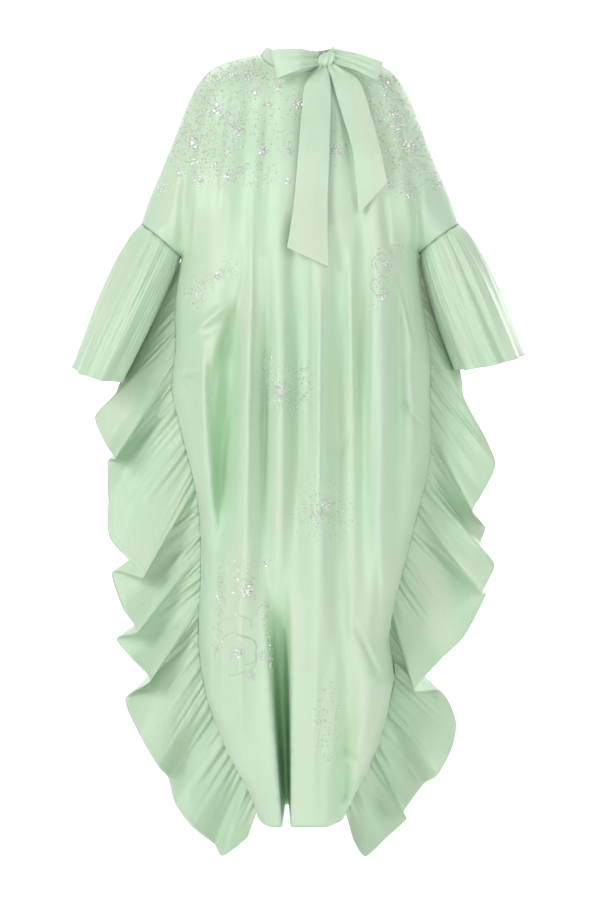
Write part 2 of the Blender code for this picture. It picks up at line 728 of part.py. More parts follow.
_, front_arm, front_neck = top_points("front", FRONT_COLUMNS)
_, back_arm, back_neck = top_points("back", BACK_COLUMNS)
front, front_grid = make_panel("front", FRONT_COLUMNS)
_, back_grid = make_panel("back", BACK_COLUMNS)
for name in ("left", "right"):
    make_flounce(name)
    make_ruffle(name)
collar = make_collar()

front_tree = tree_of(front)
collar_tree = tree_of(collar)
tie_y = make_knot().location.y
make_loop("left")
make_loop("right")
make_tail("left", LEFT_TAIL_LIFT)
make_tail("right", 0.0)
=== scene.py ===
"""A full-length satin kaftan in its worn shape: gathered flounces and side ruffles, a bow at
the neck and crystal embroidery. Metres, +Z up, the front faces -Y."""
from collections import namedtuple
from math import cos, pi, radians, sin

import bmesh
import bpy
import numpy as np
from mathutils import Matrix, Vector
from mathutils.bvhtree import BVHTree


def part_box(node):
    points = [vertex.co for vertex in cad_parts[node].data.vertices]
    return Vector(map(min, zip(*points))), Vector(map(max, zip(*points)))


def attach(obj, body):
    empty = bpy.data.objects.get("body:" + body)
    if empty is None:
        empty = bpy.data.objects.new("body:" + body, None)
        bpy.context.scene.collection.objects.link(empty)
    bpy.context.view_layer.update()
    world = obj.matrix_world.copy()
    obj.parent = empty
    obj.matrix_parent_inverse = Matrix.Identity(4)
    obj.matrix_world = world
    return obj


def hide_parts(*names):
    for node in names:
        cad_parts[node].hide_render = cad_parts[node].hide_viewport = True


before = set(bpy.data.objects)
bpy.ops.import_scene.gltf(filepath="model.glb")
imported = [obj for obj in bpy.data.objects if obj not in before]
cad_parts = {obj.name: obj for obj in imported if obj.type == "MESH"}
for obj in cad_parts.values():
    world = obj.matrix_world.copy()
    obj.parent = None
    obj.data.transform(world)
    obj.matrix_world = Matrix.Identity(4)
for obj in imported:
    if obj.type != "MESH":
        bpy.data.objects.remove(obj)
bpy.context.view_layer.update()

# Camera, floor and studio light
# The garment is seen straight from the front, at the height of its middle, in a pale round bowl.
# Soft lights stand in front, at both sides, above and behind. Two more keep the bowl pale.
VIEW_DISTANCE = 3.4
VIEW_HEIGHT = -0.756
VIEW_TALL = 1.728          # what the picture's height covers at the seam plane
FLOOR_HEIGHT = -1.70
FLOOR_FLAT, FLOOR_BEND, WALL_TALL = 6.0, 3.0, 6.5     # flat radius, radius of the bend, wall top
scene = bpy.context.scene


def put(name, data):
    """A new object in the scene."""
    thing = bpy.data.objects.new(name, data)
    scene.collection.objects.link(thing)
    return thing


def new_material(name, finish):
    """A new material, with some inputs of its shader set."""
    material = bpy.data.materials.new(name)
    material.use_nodes = True
    for slot, value in finish.items():
        material.node_tree.nodes["Principled BSDF"].inputs[slot].default_value = value
    return material


camera = put("camera", bpy.data.cameras.new("camera"))
camera.location = (0.0, -VIEW_DISTANCE, VIEW_HEIGHT)
camera.rotation_euler = (radians(90), 0.0, 0.0)
camera.data.sensor_width = 36.0
camera.data.lens = 36.0 * VIEW_DISTANCE / VIEW_TALL
scene.camera = camera
scene.view_settings.view_transform = "Standard"

sweep = bmesh.new()
profile = [(0.0, 0.0), (FLOOR_FLAT / 2, 0.0), (FLOOR_FLAT, 0.0)]
for k in range(1, 9):
    tilt = pi / 2 * k / 8
    profile.append((FLOOR_FLAT + FLOOR_BEND * sin(tilt), FLOOR_BEND - FLOOR_BEND * cos(tilt)))
profile.append((FLOOR_FLAT + FLOOR_BEND, WALL_TALL))
rim = [sweep.verts.new((reach, 0.0, FLOOR_HEIGHT + rise)) for reach, rise in profile]
line = [sweep.edges.new(pair) for pair in zip(rim, rim[1:])]
bmesh.ops.spin(sweep, geom=rim + line, cent=(0.0, 0.0, 0.0), axis=(0.0, 0.0, 1.0), angle=2 * pi,
               steps=64, use_merge=True)
bmesh.ops.remove_doubles(sweep, verts=sweep.verts, dist=1e-4)
bmesh.ops.recalc_face_normals(sweep, faces=sweep.faces)
bmesh.ops.reverse_faces(sweep, faces=sweep.faces)
floor_mesh = bpy.data.meshes.new("floor")
sweep.to_mesh(floor_mesh)
sweep.free()
for face in floor_mesh.polygons:
    face.use_smooth = True
floor_mesh.materials.append(
    new_material("pale_floor", {"Base Color": (0.95, 0.95, 0.95, 1.0), "Roughness": 0.9}))
floor = put("floor", floor_mesh)

world = bpy.data.worlds.new("studio")
world.use_nodes = True
world.node_tree.nodes["Background"].inputs["Color"].default_value = (1.0, 1.0, 1.0, 1.0)
world.node_tree.nodes["Background"].inputs["Strength"].default_value = 0.245
scene.world = world


def soft_light(name, place, target, size, power):
    """A large rectangular lamp that looks at a point."""
    lamp = bpy.data.lights.new(name, "AREA")
    lamp.shape = "RECTANGLE"
    lamp.size, lamp.size_y = size
    lamp.energy = power
    light = put(name, lamp)
    light.location = place
    light.rotation_euler = (Vector(target) - Vector(place)).to_track_quat("-Z", "Y").to_euler()


soft_light("key", (-2.6, -2.7, 0.7), (0.0, 0.0, -0.6), (1.2, 2.2), 60)
soft_light("fill", (2.8, -2.4, -0.2), (0.0, 0.0, -0.8), (1.2, 2.2), 22)
soft_light("front", (0.15, -4.2, -1.0), (-0.02, 0.0, -1.0), (0.9, 1.6), 29)
soft_light("top", (0.0, -0.6, 2.2), (0.0, 0.0, -0.5), (2.2, 1.4), 10)
soft_light("behind", (2.7, 2.6, 0.9), (0.0, 0.0, -0.7), (1.0, 2.0), 34)
soft_light("ground", (0.0, 1.6, 2.2), (0.0, 3.2, -1.7), (5.0, 1.5), 110)
soft_light("wall", (0.0, 4.6, 2.8), (0.0, 8.6, 0.0), (6.0, 2.0), 480)

# Front and back panels
# Two kimono-cut panels of pale green satin taffeta, sewn together along the shoulders, the
# sleeve tops and the curved sides. They hang from the shoulders in long soft folds.
CLOTH = 0.0009             # thickness of the satin, with its lining
PANEL_ROWS = 236
SLEEVE_ROWS, SIDE_ROWS = 4, 22     # coarse rows along a sleeve end and down a side seam
HEM_HEIGHT = -1.447
NECK_HALF, NECK_HEIGHT = 0.080, 0.004
NECK_DIP = {"front": 0.050, "back": 0.012}
HEM_RIDGE = 0.0008         # how far a turned hem stands out
CREASE_SHARE = 0.85        # of the depths in the table of creases
# Painted bounce light: deep in a fold the satin is painted a paler, greener colour, which stands in
# for light passing from wall to wall
PAINTED_LIGHT_FULL_DEPTH, PAINTED_LIGHT_MOST = 0.15, 0.95     # depth and share at which a fold is greenest
BEIGE_THREAD = (0.62, 0.69, 0.53)
PAINTED_FOLD_LIGHT = (0.49, 0.83, 0.46)

Point = namedtuple("Point", "x z")
SLEEVE_TOP = [
    Point(0.080, 0.004), Point(0.140, -0.011), Point(0.178, -0.032), Point(0.206, -0.070),
    Point(0.230, -0.128), Point(0.265, -0.216), Point(0.290, -0.276), Point(0.305, -0.321),
]
SIDE_SEAM = {
    "left": [
        Point(-0.2275, -0.386), Point(-0.240, -0.470), Point(-0.238, -0.560), Point(-0.246, -0.640),
        Point(-0.228, -0.720), Point(-0.195, -0.860), Point(-0.190, -1.000), Point(-0.195, -1.120),
        Point(-0.178, -1.230), Point(-0.137, -1.335), Point(-0.100, -1.400),
        Point(-0.083, HEM_HEIGHT),
    ],
    "right": [
        Point(0.2285, -0.378), Point(0.233, -0.460), Point(0.250, -0.560), Point(0.249, -0.650),
        Point(0.250, -0.770), Point(0.226, -0.876), Point(0.193, -1.004), Point(0.171, -1.110),
        Point(0.181, -1.190), Point(0.150, -1.320), Point(0.108, -1.405), Point(0.087, HEM_HEIGHT),
    ],
}

# How far front and back stand from the seams, and how wide the edges round over
Section = namedtuple("Section", "height front back round")
BODY = [
    Section(0.02, 0.074, 0.062, 0.120),
    Section(-0.10, 0.096, 0.086, 0.135),
    Section(-0.25, 0.122, 0.100, 0.150),
    Section(-0.45, 0.130, 0.106, 0.150),
    Section(-0.75, 0.138, 0.114, 0.130),
    Section(-1.10, 0.146, 0.124, 0.095),
    Section(-1.30, 0.152, 0.132, 0.060),
    Section(-1.46, 0.156, 0.138, 0.036),
]

# Troughs, and ridges with a negative depth. One that ends above the hem fades out there.
Fold = namedtuple("Fold", "top_x top_z foot_x foot_z top_half foot_half depth")
FRONT_SLIT = Fold(-0.045, -0.940, -0.019, -1.600, 0.026, 0.0006, 0.210)
FOLDS = {
    "front": [
        Fold(-0.116, -0.400, -0.146, -0.960, 0.022, 0.026, 0.040),
        Fold(-0.098, -0.480, -0.104, -1.300, 0.022, 0.026, -0.018),
        Fold(-0.066, -0.400, -0.068, -1.080, 0.020, 0.024, 0.020),
        Fold(-0.036, -0.300, -0.038, -0.980, 0.020, 0.022, -0.012),
        Fold(-0.010, -0.310, -0.014, -1.060, 0.020, 0.022, 0.022),
        Fold(0.038, -0.300, 0.030, -1.300, 0.024, 0.028, -0.018),
        Fold(0.072, -0.340, 0.070, -1.150, 0.020, 0.022, 0.024),
        Fold(0.118, -0.260, 0.120, -1.080, 0.020, 0.024, 0.026),
        Fold(0.145, -0.320, 0.142, -1.100, 0.020, 0.020, -0.012),
        Fold(0.190, -0.420, 0.180, -0.960, 0.020, 0.022, 0.022),
        Fold(-0.185, -0.440, -0.176, -0.900, 0.020, 0.020, -0.010),
        FRONT_SLIT,
        Fold(0.100, -1.000, 0.070, -1.600, 0.026, 0.022, 0.044),
        Fold(-0.212, -0.210, -0.226, -0.400, 0.016, 0.014, 0.016),
        Fold(0.212, -0.210, 0.224, -0.400, 0.016, 0.014, 0.018),
        Fold(-0.090, -0.040, -0.118, -0.420, 0.018, 0.026, 0.012),
        Fold(-0.050, -0.070, -0.066, -0.400, 0.016, 0.022, 0.010),
        Fold(0.020, -0.100, 0.014, -0.400, 0.018, 0.022, 0.010),
        Fold(0.086, -0.040, 0.105, -0.380, 0.018, 0.026, 0.012),
        Fold(-0.150, -0.070, -0.186, -0.360, 0.020, 0.026, 0.011),
        Fold(0.150, -0.070, 0.182, -0.360, 0.020, 0.026, 0.011),
    ],
    "back": [
        Fold(-0.120, -0.180, -0.125, -1.150, 0.026, 0.036, 0.024),
        Fold(-0.045, -0.120, -0.040, -1.250, 0.024, 0.034, 0.020),
        Fold(0.040, -0.160, 0.045, -1.180, 0.024, 0.034, 0.024),
        Fold(0.122, -0.150, 0.118, -1.100, 0.026, 0.036, 0.022),
        Fold(-0.185, -0.300, -0.165, -0.980, 0.022, 0.026, 0.016),
        Fold(0.185, -0.320, 0.172, -0.960, 0.022, 0.026, 0.018),
        Fold(-0.036, -0.980, -0.034, -1.600, 0.030, 0.020, 0.050),
        Fold(0.042, -1.050, 0.038, -1.600, 0.030, 0.020, 0.045),
    ],
}

# Light folds and creases: the same columns, fading at both ends, each with one half width
Crease = namedtuple("Crease", "top_x top_z foot_x foot_z half depth")
CREASES = {
    "front": [
        Crease(-0.198, -0.270, -0.222, -0.440, 0.009, 0.011),
        Crease(-0.104, -0.380, -0.128, -0.508, 0.009, -0.010),
        Crease(-0.116, -0.478, -0.200, -0.538, 0.011, -0.015),
        Crease(-0.124, -0.506, -0.198, -0.556, 0.012, 0.008),
        Crease(-0.168, -0.650, -0.128, -0.500, 0.013, 0.022),
        Crease(-0.146, -0.920, -0.168, -0.580, 0.013, 0.024),
        Crease(-0.150, -0.880, -0.140, -0.520, 0.018, 0.020),
        Crease(-0.177, -0.560, -0.176, -0.800, 0.009, -0.010),
        Crease(-0.238, -0.612, -0.176, -0.609, 0.006, 0.008),
        Crease(-0.086, -0.270, -0.098, -0.930, 0.008, -0.011),
        Crease(-0.056, -0.360, -0.071, -0.960, 0.007, 0.008),
        Crease(-0.024, -0.420, -0.030, -0.900, 0.009, -0.007),
        Crease(0.014, -0.340, 0.016, -0.820, 0.008, 0.009),
        Crease(0.038, -0.420, 0.034, -0.880, 0.007, -0.010),
        Crease(0.094, -0.370, 0.096, -0.700, 0.007, -0.009),
        Crease(0.111, -0.400, 0.108, -0.780, 0.006, 0.007),
        Crease(0.134, -0.450, 0.128, -0.880, 0.008, -0.010),
        Crease(0.153, -0.262, 0.168, -0.384, 0.010, 0.013),
        Crease(0.186, -0.420, 0.180, -0.720, 0.010, 0.009),
        Crease(0.182, -0.440, 0.213, -0.580, 0.008, -0.010),
        Crease(0.176, -0.652, 0.240, -0.716, 0.007, 0.010),
        Crease(0.097, -0.700, 0.074, -0.780, 0.005, 0.006),
        Crease(0.203, -0.560, 0.215, -0.760, 0.010, -0.008),
        Crease(0.215, -0.270, 0.205, -0.440, 0.009, -0.008),
        Crease(0.098, -1.065, 0.156, -1.195, 0.007, 0.010),
        Crease(0.083, -0.980, 0.084, -1.200, 0.012, 0.010),
        Crease(0.076, -1.306, 0.124, -1.350, 0.006, 0.007),
        Crease(0.062, -1.424, 0.104, -1.376, 0.006, 0.008),
        Crease(-0.118, -1.368, -0.080, -1.458, 0.006, -0.006),
        Crease(-0.150, -0.880, -0.158, -1.240, 0.014, 0.010),
        Crease(-0.112, -0.960, -0.108, -1.340, 0.012, -0.009),
        Crease(0.140, -0.900, 0.150, -1.120, 0.010, 0.009),
        Crease(0.030, -1.080, 0.024, -1.440, 0.014, -0.008),
        Crease(-0.245, -0.590, -0.205, -0.660, 0.007, 0.007),
        Crease(-0.060, -0.090, -0.075, -0.330, 0.010, 0.006),
        Crease(-0.130, -0.060, -0.160, -0.320, 0.010, 0.007),
        Crease(-0.175, -0.080, -0.220, -0.300, 0.009, 0.006),
        Crease(0.178, -0.080, 0.216, -0.290, 0.009, 0.006),
        Crease(0.120, -0.060, 0.146, -0.250, 0.010, 0.006),
    ],
    "back": [
        Crease(-0.080, -0.160, -0.086, -0.980, 0.012, -0.010),
        Crease(0.000, -0.100, 0.004, -1.100, 0.012, -0.009),
        Crease(0.082, -0.170, 0.084, -1.020, 0.012, -0.010),
        Crease(-0.155, -0.220, -0.150, -0.860, 0.012, 0.009),
        Crease(0.152, -0.240, 0.150, -0.900, 0.012, 0.009),
        Crease(-0.200, -0.250, -0.222, -0.440, 0.009, 0.010),
        Crease(0.200, -0.250, 0.222, -0.440, 0.009, 0.010),
        Crease(-0.225, -0.640, -0.160, -0.700, 0.008, 0.009),
        Crease(0.240, -0.620, 0.170, -0.690, 0.008, 0.009),
        Crease(0.100, -0.960, 0.112, -1.380, 0.014, 0.010),
        Crease(-0.104, -0.980, -0.106, -1.400, 0.014, 0.010),
    ],
}


def smooth(value):
    """Ease from 0 to 1."""
    value = np.clip(value, 0.0, 1.0)
    return value * value * (3.0 - 2.0 * value)


def curve(rows, places, pull=0.5):
    """Points on a smooth curve through a table, at places from 0 to the last row."""
    rows = np.array(rows, float)
    places = np.asarray(places, float)
    first = np.clip(places.astype(int), 0, len(rows) - 2)
    h = (places - first)[:, None]
    before, start = rows[np.maximum(first - 1, 0)], rows[first]
    end, after = rows[first + 1], rows[np.minimum(first + 2, len(rows) - 1)]
    bend = (end - before) * h * (1.0 - h) ** 2 - (after - start) * h * h * (1.0 - h)
    return start + (end - start) * smooth(h) + pull * bend


def along(points, shares):
    """Points at shares of the length of a polyline."""
    steps = np.linalg.norm(np.diff(points, axis=0), axis=1)
    reach = np.concatenate([[0.0], np.cumsum(steps)])
    wanted = np.asarray(shares) * reach[-1]
    return np.stack([np.interp(wanted, reach, column) for column in points.T], axis=1)


def fine(rows, steps=8):
    """A smooth curve through a table of x and z."""
    return curve(rows, np.linspace(0.0, len(rows) - 1, (len(rows) - 1) * steps + 1))


sleeve_right = fine(SLEEVE_TOP)
sleeve_left = sleeve_right * [-1.0, 1.0]
side = {name: fine(rows) for name, rows in SIDE_SEAM.items()}
sleeve_end = {
    "left": (sleeve_left[-1], side["left"][0]),
    "right": (sleeve_right[-1], side["right"][0]),
}
rounded_edges = [sleeve_left[::4], sleeve_right[::4], side["left"][::4], side["right"][::4]]


def edge_distance(x, z, edge):
    """Distance in the front view from points to a polyline."""
    best = np.full(np.shape(x), 9.0)
    for (ax, az), (bx, bz) in zip(edge, edge[1:]):
        run_x, run_z = bx - ax, bz - az
        share = np.clip(((x - ax) * run_x + (z - az) * run_z) / (run_x ** 2 + run_z ** 2), 0.0, 1.0)
        best = np.minimum(best, np.hypot(x - ax - run_x * share, z - az - run_z * share))
    return best


def fold_depth(name, x, z):
    """How far the folds take a panel inwards."""
    depth = np.zeros(np.shape(x))
    for fold in FOLDS[name]:
        run = (fold.top_z - z) / (fold.top_z - fold.foot_z)
        inside = np.clip(run, 0.0, 1.0)
        strength = np.sin(pi * inside) ** 0.7 if fold.foot_z > HEM_HEIGHT else smooth(inside * 1.33)
        line = fold.top_x + (fold.foot_x - fold.top_x) * run
        half = fold.top_half + (fold.foot_half - fold.top_half) * inside
        power = 4 if fold is FRONT_SLIT else 2
        depth += fold.depth * strength * np.exp(-np.abs((x - line) / half) ** power * 1.6)
    for crease in CREASES[name]:
        run_x, run_z = crease.foot_x - crease.top_x, crease.foot_z - crease.top_z
        length = np.hypot(run_x, run_z)
        inside = ((x - crease.top_x) * run_x + (z - crease.top_z) * run_z) / length ** 2
        off = ((x - crease.top_x) * run_z - (z - crease.top_z) * run_x) / length / crease.half
        off = np.where(off > 0.0, off * 0.72, off * 1.35)     # one side is steeper
        strength = np.sin(pi * np.clip(inside, 0.0, 1.0)) ** 0.8
        depth += CREASE_SHARE * crease.depth * strength * np.exp(-off ** 2 * 1.6)
    return depth


def panel_y(name, x, z):
    """Where the outer face of a panel stands, measured from the seam plane."""
    x, z = np.asarray(x, float), np.asarray(z, float)
    heights = np.array([row.height for row in BODY])
    below = np.clip(np.searchsorted(-heights, -z), 1, len(BODY) - 1)
    share = smooth((heights[below - 1] - z) / (heights[below - 1] - heights[below]))
    column = 1 if name == "front" else 2
    table = np.array(BODY)
    full = table[below - 1, column] + (table[below, column] - table[below - 1, column]) * share
    rounding = table[below - 1, 3] + (table[below, 3] - table[below - 1, 3]) * share
    near = sum(np.maximum(edge_distance(x, z, edge), 1e-6) ** -5 for edge in rounded_edges) ** -0.2
    full = full * (1.0 - 0.38 * smooth((np.abs(x) - 0.16) / 0.12))
    rise = np.minimum(1.0, near / rounding)
    return full * np.sqrt(1.0 - (1.0 - rise) ** 2) - smooth(near / 0.035) * fold_depth(name, x, z)


def seam_point(side_name, row):
    """The outline of a panel's side edge: the sleeve end, then the side seam."""
    if row <= SLEEVE_ROWS:
        top, foot = sleeve_end[side_name]
        return top + (foot - top) * row / SLEEVE_ROWS
    return along(side[side_name], [(row - SLEEVE_ROWS) / SIDE_ROWS])[0]


def neck_edge(name, shares):
    """The neck edge from the left shoulder point (0) to the right one (1)."""
    angle = pi * (1.0 - shares)
    dip = NECK_DIP[name] * np.maximum(np.sin(angle), 0.0) ** 1.2
    return np.stack([NECK_HALF * np.cos(angle), NECK_HEIGHT - dip], axis=1)


def middle_line(name, top_x, height):
    """Where the middle column runs: down the front's deep fold, or down the middle of the back."""
    if name == "back":
        return np.full(height.shape, top_x)
    fold = FRONT_SLIT
    eased = top_x + (fold.top_x - top_x) * smooth(height / fold.top_z)
    run = (height - fold.top_z) / (fold.foot_z - fold.top_z)
    return np.where(height > fold.top_z, eased, fold.top_x + (fold.foot_x - fold.top_x) * run)


def panel_grid(name, columns):
    """All outer points of a panel, row by row from the top edge to the hem."""
    facing = -1.0 if name == "front" else 1.0
    neck = 2 * round(columns / 7)
    arm = (columns - neck) // 2
    top = np.concatenate([
        along(sleeve_left, 1.0 - np.arange(arm) / arm),
        neck_edge(name, np.arange(neck + 1) / neck),
        along(sleeve_right, np.arange(1, arm + 1) / arm),
    ])
    split = arm + neck // 2 - (neck // 5 if name == "front" else 0)
    lengths = np.linalg.norm(np.diff(top, axis=0), axis=1)
    whole = lengths.sum()
    shares = np.concatenate([[0.0], np.cumsum(lengths + whole / columns)]) / whole / 2
    left_shares = shares[:split] / shares[split]
    right_shares = (shares[split:] - shares[split]) / (1.0 - shares[split])
    coarse = SLEEVE_ROWS + SIDE_ROWS
    ends = {which: (seam_point(which, 0), seam_point(which, coarse)) for which in side}
    hem_left, hem_right = ends["left"][1], ends["right"][1]
    u = np.linspace(0.0, 1.0, 8 * columns + 1)[:, None]
    top_line = along(top, u[:, 0])
    grid = []
    for row in range(PANEL_ROWS + 1):
        v = row / PANEL_ROWS
        flat = top
        if row:
            shift = {which: seam_point(which, v * coarse) - start - (end - start) * v
                     for which, (start, end) in ends.items()}
            flat = top_line * (1.0 - v) + (hem_left + (hem_right - hem_left) * u) * v
            flat = flat + shift["left"] * (1.0 - u) ** 2 + shift["right"] * u ** 2
        x, z = flat[:, 0], flat[:, 1]
        line = np.stack([x, facing * panel_y(name, x, z), z], axis=1)
        if row:
            centre = np.nonzero(line[:, 0] < middle_line(name, top[split, 0], line[:, 2]))[0][-1]
            line = np.concatenate([along(line[:centre + 1], left_shares),
                                   along(line[centre:], right_shares)])
        if row == 0:
            line[:arm + 1, 1] = line[arm + neck:, 1] = 0.0
        elif v * coarse >= SLEEVE_ROWS:
            line[[0, -1], 1] = 0.0
        line[:, 1] += facing * (0.0002 + HEM_RIDGE * (row >= PANEL_ROWS - 2))
        grid.append(line)
    return np.array(grid)


def sheet_piece(name, grid, outward, thickness=CLOTH, closed=False):
    """Sew a grid of points into one sheet of cloth; its UV map counts metres along the cloth."""
    rows, columns = grid.shape[0] - 1, grid.shape[1] - 1
    shell = bmesh.new()
    bmesh.ops.create_grid(shell, x_segments=columns, y_segments=rows, size=1.0)
    shell.verts.ensure_lookup_table()
    across = np.linalg.norm(np.diff(grid, axis=1), axis=2)
    down = np.linalg.norm(np.diff(grid, axis=0), axis=2)
    across = np.pad(np.cumsum(across, axis=1), ((0, 0), (1, 0))).ravel()
    down = np.pad(np.cumsum(down, axis=0), ((1, 0), (0, 0))).ravel()
    flat = grid.reshape(-1, 3)
    for k, vert in enumerate(shell.verts):
        vert.co = flat[k]
    cut = shell.loops.layers.uv.new("cut")
    for face in shell.faces:
        face.smooth = True
        for corner in face.loops:
            k = corner.vert.index
            corner[cut].uv = (across[k], down[k])
    shell.faces.ensure_lookup_table()
    shell.normal_update()
    middle = shell.faces[len(shell.faces) // 2]
    if middle.normal.dot(outward(middle.calc_center_median())) < 0.0:
        bmesh.ops.reverse_faces(shell, faces=shell.faces)
    if closed:
        bmesh.ops.remove_doubles(shell, verts=shell.verts, dist=1e-6)
    mesh = bpy.data.meshes.new(name)
    shell.to_mesh(mesh)
    shell.free()
    piece = put(name, mesh)
    wall = piece.modifiers.new("cloth", "SOLIDIFY")
    wall.thickness = thickness
    wall.offset = -1.0
    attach(piece, "root")
    return piece


def feed(tree, socket, value):
    """Set an input of a shader node, or link it to another node's output."""
    if isinstance(value, bpy.types.NodeSocket):
        tree.links.new(value, socket)
    else:
        socket.default_value = value


def add_node(tree, kind, inputs):
    """A shader node with its inputs set or linked by name."""
    node = tree.nodes.new("ShaderNode" + kind)
    for name, value in inputs.items():
        feed(tree, node.inputs[name], value)
    return node


def blend(tree, share, low, high):
    """A mix of two colours."""
    node = tree.nodes.new("ShaderNodeMix")
    node.data_type = "RGBA"
    for slot, value in ((0, share), (6, low), (7, high)):
        feed(tree, node.inputs[slot], value)
    return node.outputs[2]


def tinted(colour, amount):
    """A colour made darker or paler, with its alpha."""
    return (*[min(1.0, c * amount) for c in colour], 1.0)


def satin(name, colour, crease_scale):
    """Satin taffeta: a soft sheen, a fine weave, streaks of a beige thread and faint creases down
    the cloth. Deep in a fold it is painted greener and paler, as painted bounce light that stands
    in for the light passing from wall to wall."""
    material = new_material(name, {
        "Specular IOR Level": 0.55, "Specular Tint": (0.86, 1.0, 0.87, 1.0),
        "Sheen Weight": 0.20, "Sheen Roughness": 0.4, "Sheen Tint": (0.86, 1.0, 0.88, 1.0),
    })
    tree = material.node_tree
    shader = tree.nodes["Principled BSDF"]
    place = tree.nodes.new("ShaderNodeTexCoord").outputs
    down = add_node(tree, "Mapping", {"Vector": place["Object"], "Scale": (1.0, 1.0, 0.28)})
    down = down.outputs["Vector"]
    creases = add_node(tree, "TexNoise", {
        "Vector": down, "Scale": crease_scale, "Detail": 3.0, "Roughness": 0.45})
    weave = add_node(tree, "TexWave", {"Vector": place["UV"], "Scale": 420.0, "Distortion": 1.5})
    cloud = add_node(tree, "TexNoise", {"Vector": place["Object"], "Scale": 7.0, "Detail": 2.0})
    streaks = add_node(tree, "TexNoise", {"Vector": down, "Scale": 15.0, "Detail": 2.0})
    how_beige = add_node(tree, "MapRange", {
        "Value": streaks.outputs["Fac"], "From Min": 0.42, "From Max": 0.68, "To Max": 0.55})
    # The fold attribute paints bounce light: deep in the folds the base colour is mixed towards a
    # paler green
    fold = tree.nodes.new("ShaderNodeAttribute")
    fold.attribute_name = "fold"
    tone = blend(tree, cloud.outputs["Fac"], tinted(colour, 0.955), tinted(colour, 1.03))
    shot = blend(tree, how_beige.outputs["Result"], tone, (*BEIGE_THREAD, 1.0))
    feed(tree, shader.inputs["Base Color"],
         blend(tree, fold.outputs["Fac"], shot, (*PAINTED_FOLD_LIGHT, 1.0)))
    rough = add_node(tree, "MapRange", {
        "Value": cloud.outputs["Fac"], "To Min": 0.36, "To Max": 0.48})
    feed(tree, shader.inputs["Roughness"], rough.outputs["Result"])
    crumple = add_node(tree, "Bump", {
        "Height": creases.outputs["Fac"], "Strength": 0.42, "Distance": 0.006})
    threads = add_node(tree, "Bump", {
        "Height": weave.outputs["Fac"], "Normal": crumple.outputs["Normal"],
        "Strength": 0.10, "Distance": 0.0003})
    feed(tree, shader.inputs["Normal"], threads.outputs["Normal"])
    return material


panel_satin = satin("panel_satin", (0.537, 0.708, 0.530), 26.0)
panels = {}
for name, columns in (("front", 184), ("back", 128)):
    facing = Vector((0.0, -1.0 if name == "front" else 1.0, 0.0))
    grid = panel_grid(name, columns)
    panels[name] = sheet_piece(name + "_panel", grid, lambda spot: facing)
    # Painted bounce light: each point stores how deep its fold is, and the satin paints it greener
    # and paler there
    depth = fold_depth(name, grid[:, :, 0].ravel(), grid[:, :, 2].ravel())
    fold = panels[name].data.attributes.new("fold", "FLOAT", "POINT")
    fold.data.foreach_set("value", np.clip(depth / PAINTED_LIGHT_FULL_DEPTH, 0.0, PAINTED_LIGHT_MOST).astype(np.float32))
    panels[name].data.materials.append(panel_satin)
    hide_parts(name)

# Sleeve flounces
# Each is a strip of the same satin, gathered on to the sleeve end at the elbow, which falls
# as a bell with soft flutes to a narrow turned hem.
Bell = namedtuple("Bell", "outer_x outer_z inner_x inner_z half_depth front_drop "
                          "outer_puff inner_puff waves")
BELL = {
    "left": Bell(-0.431, -0.597, -0.340, -0.622, 0.105, 0.014, 0.014, 0.005, 7),
    "right": Bell(0.4255, -0.574, 0.303, -0.602, 0.110, 0.010, 0.015, 0.008, 8),
}
# Soft flutes: their place round the bell, how far they drift on the way down, and their depth
Flute = namedtuple("Flute", "angle drift depth")
FLUTES = [
    Flute(0.75, 0.25, 0.0060), Flute(1.35, -0.10, 0.0075), Flute(1.95, -0.35, 0.0065),
    Flute(2.55, -0.30, 0.0050), Flute(3.70, 0.20, 0.0060), Flute(4.40, -0.15, 0.0065),
    Flute(5.10, 0.10, 0.0060), Flute(5.70, -0.20, 0.0050),
]
FLUTE_SHARE = 0.7          # of the depths in that table
FLUTE_SLOW, FLUTE_STEEP = 0.20, 0.08     # half widths of a flute's two sides
BELL_GATHERS = 18
BELL_GATHER_DEPTH = 0.0032
BELL_GATHER_SHARE = 0.55   # what is left of the gathers below the seam
BELL_WAVE_DEPTH = 0.006
BELL_HEM_RIDGE = 0.0009


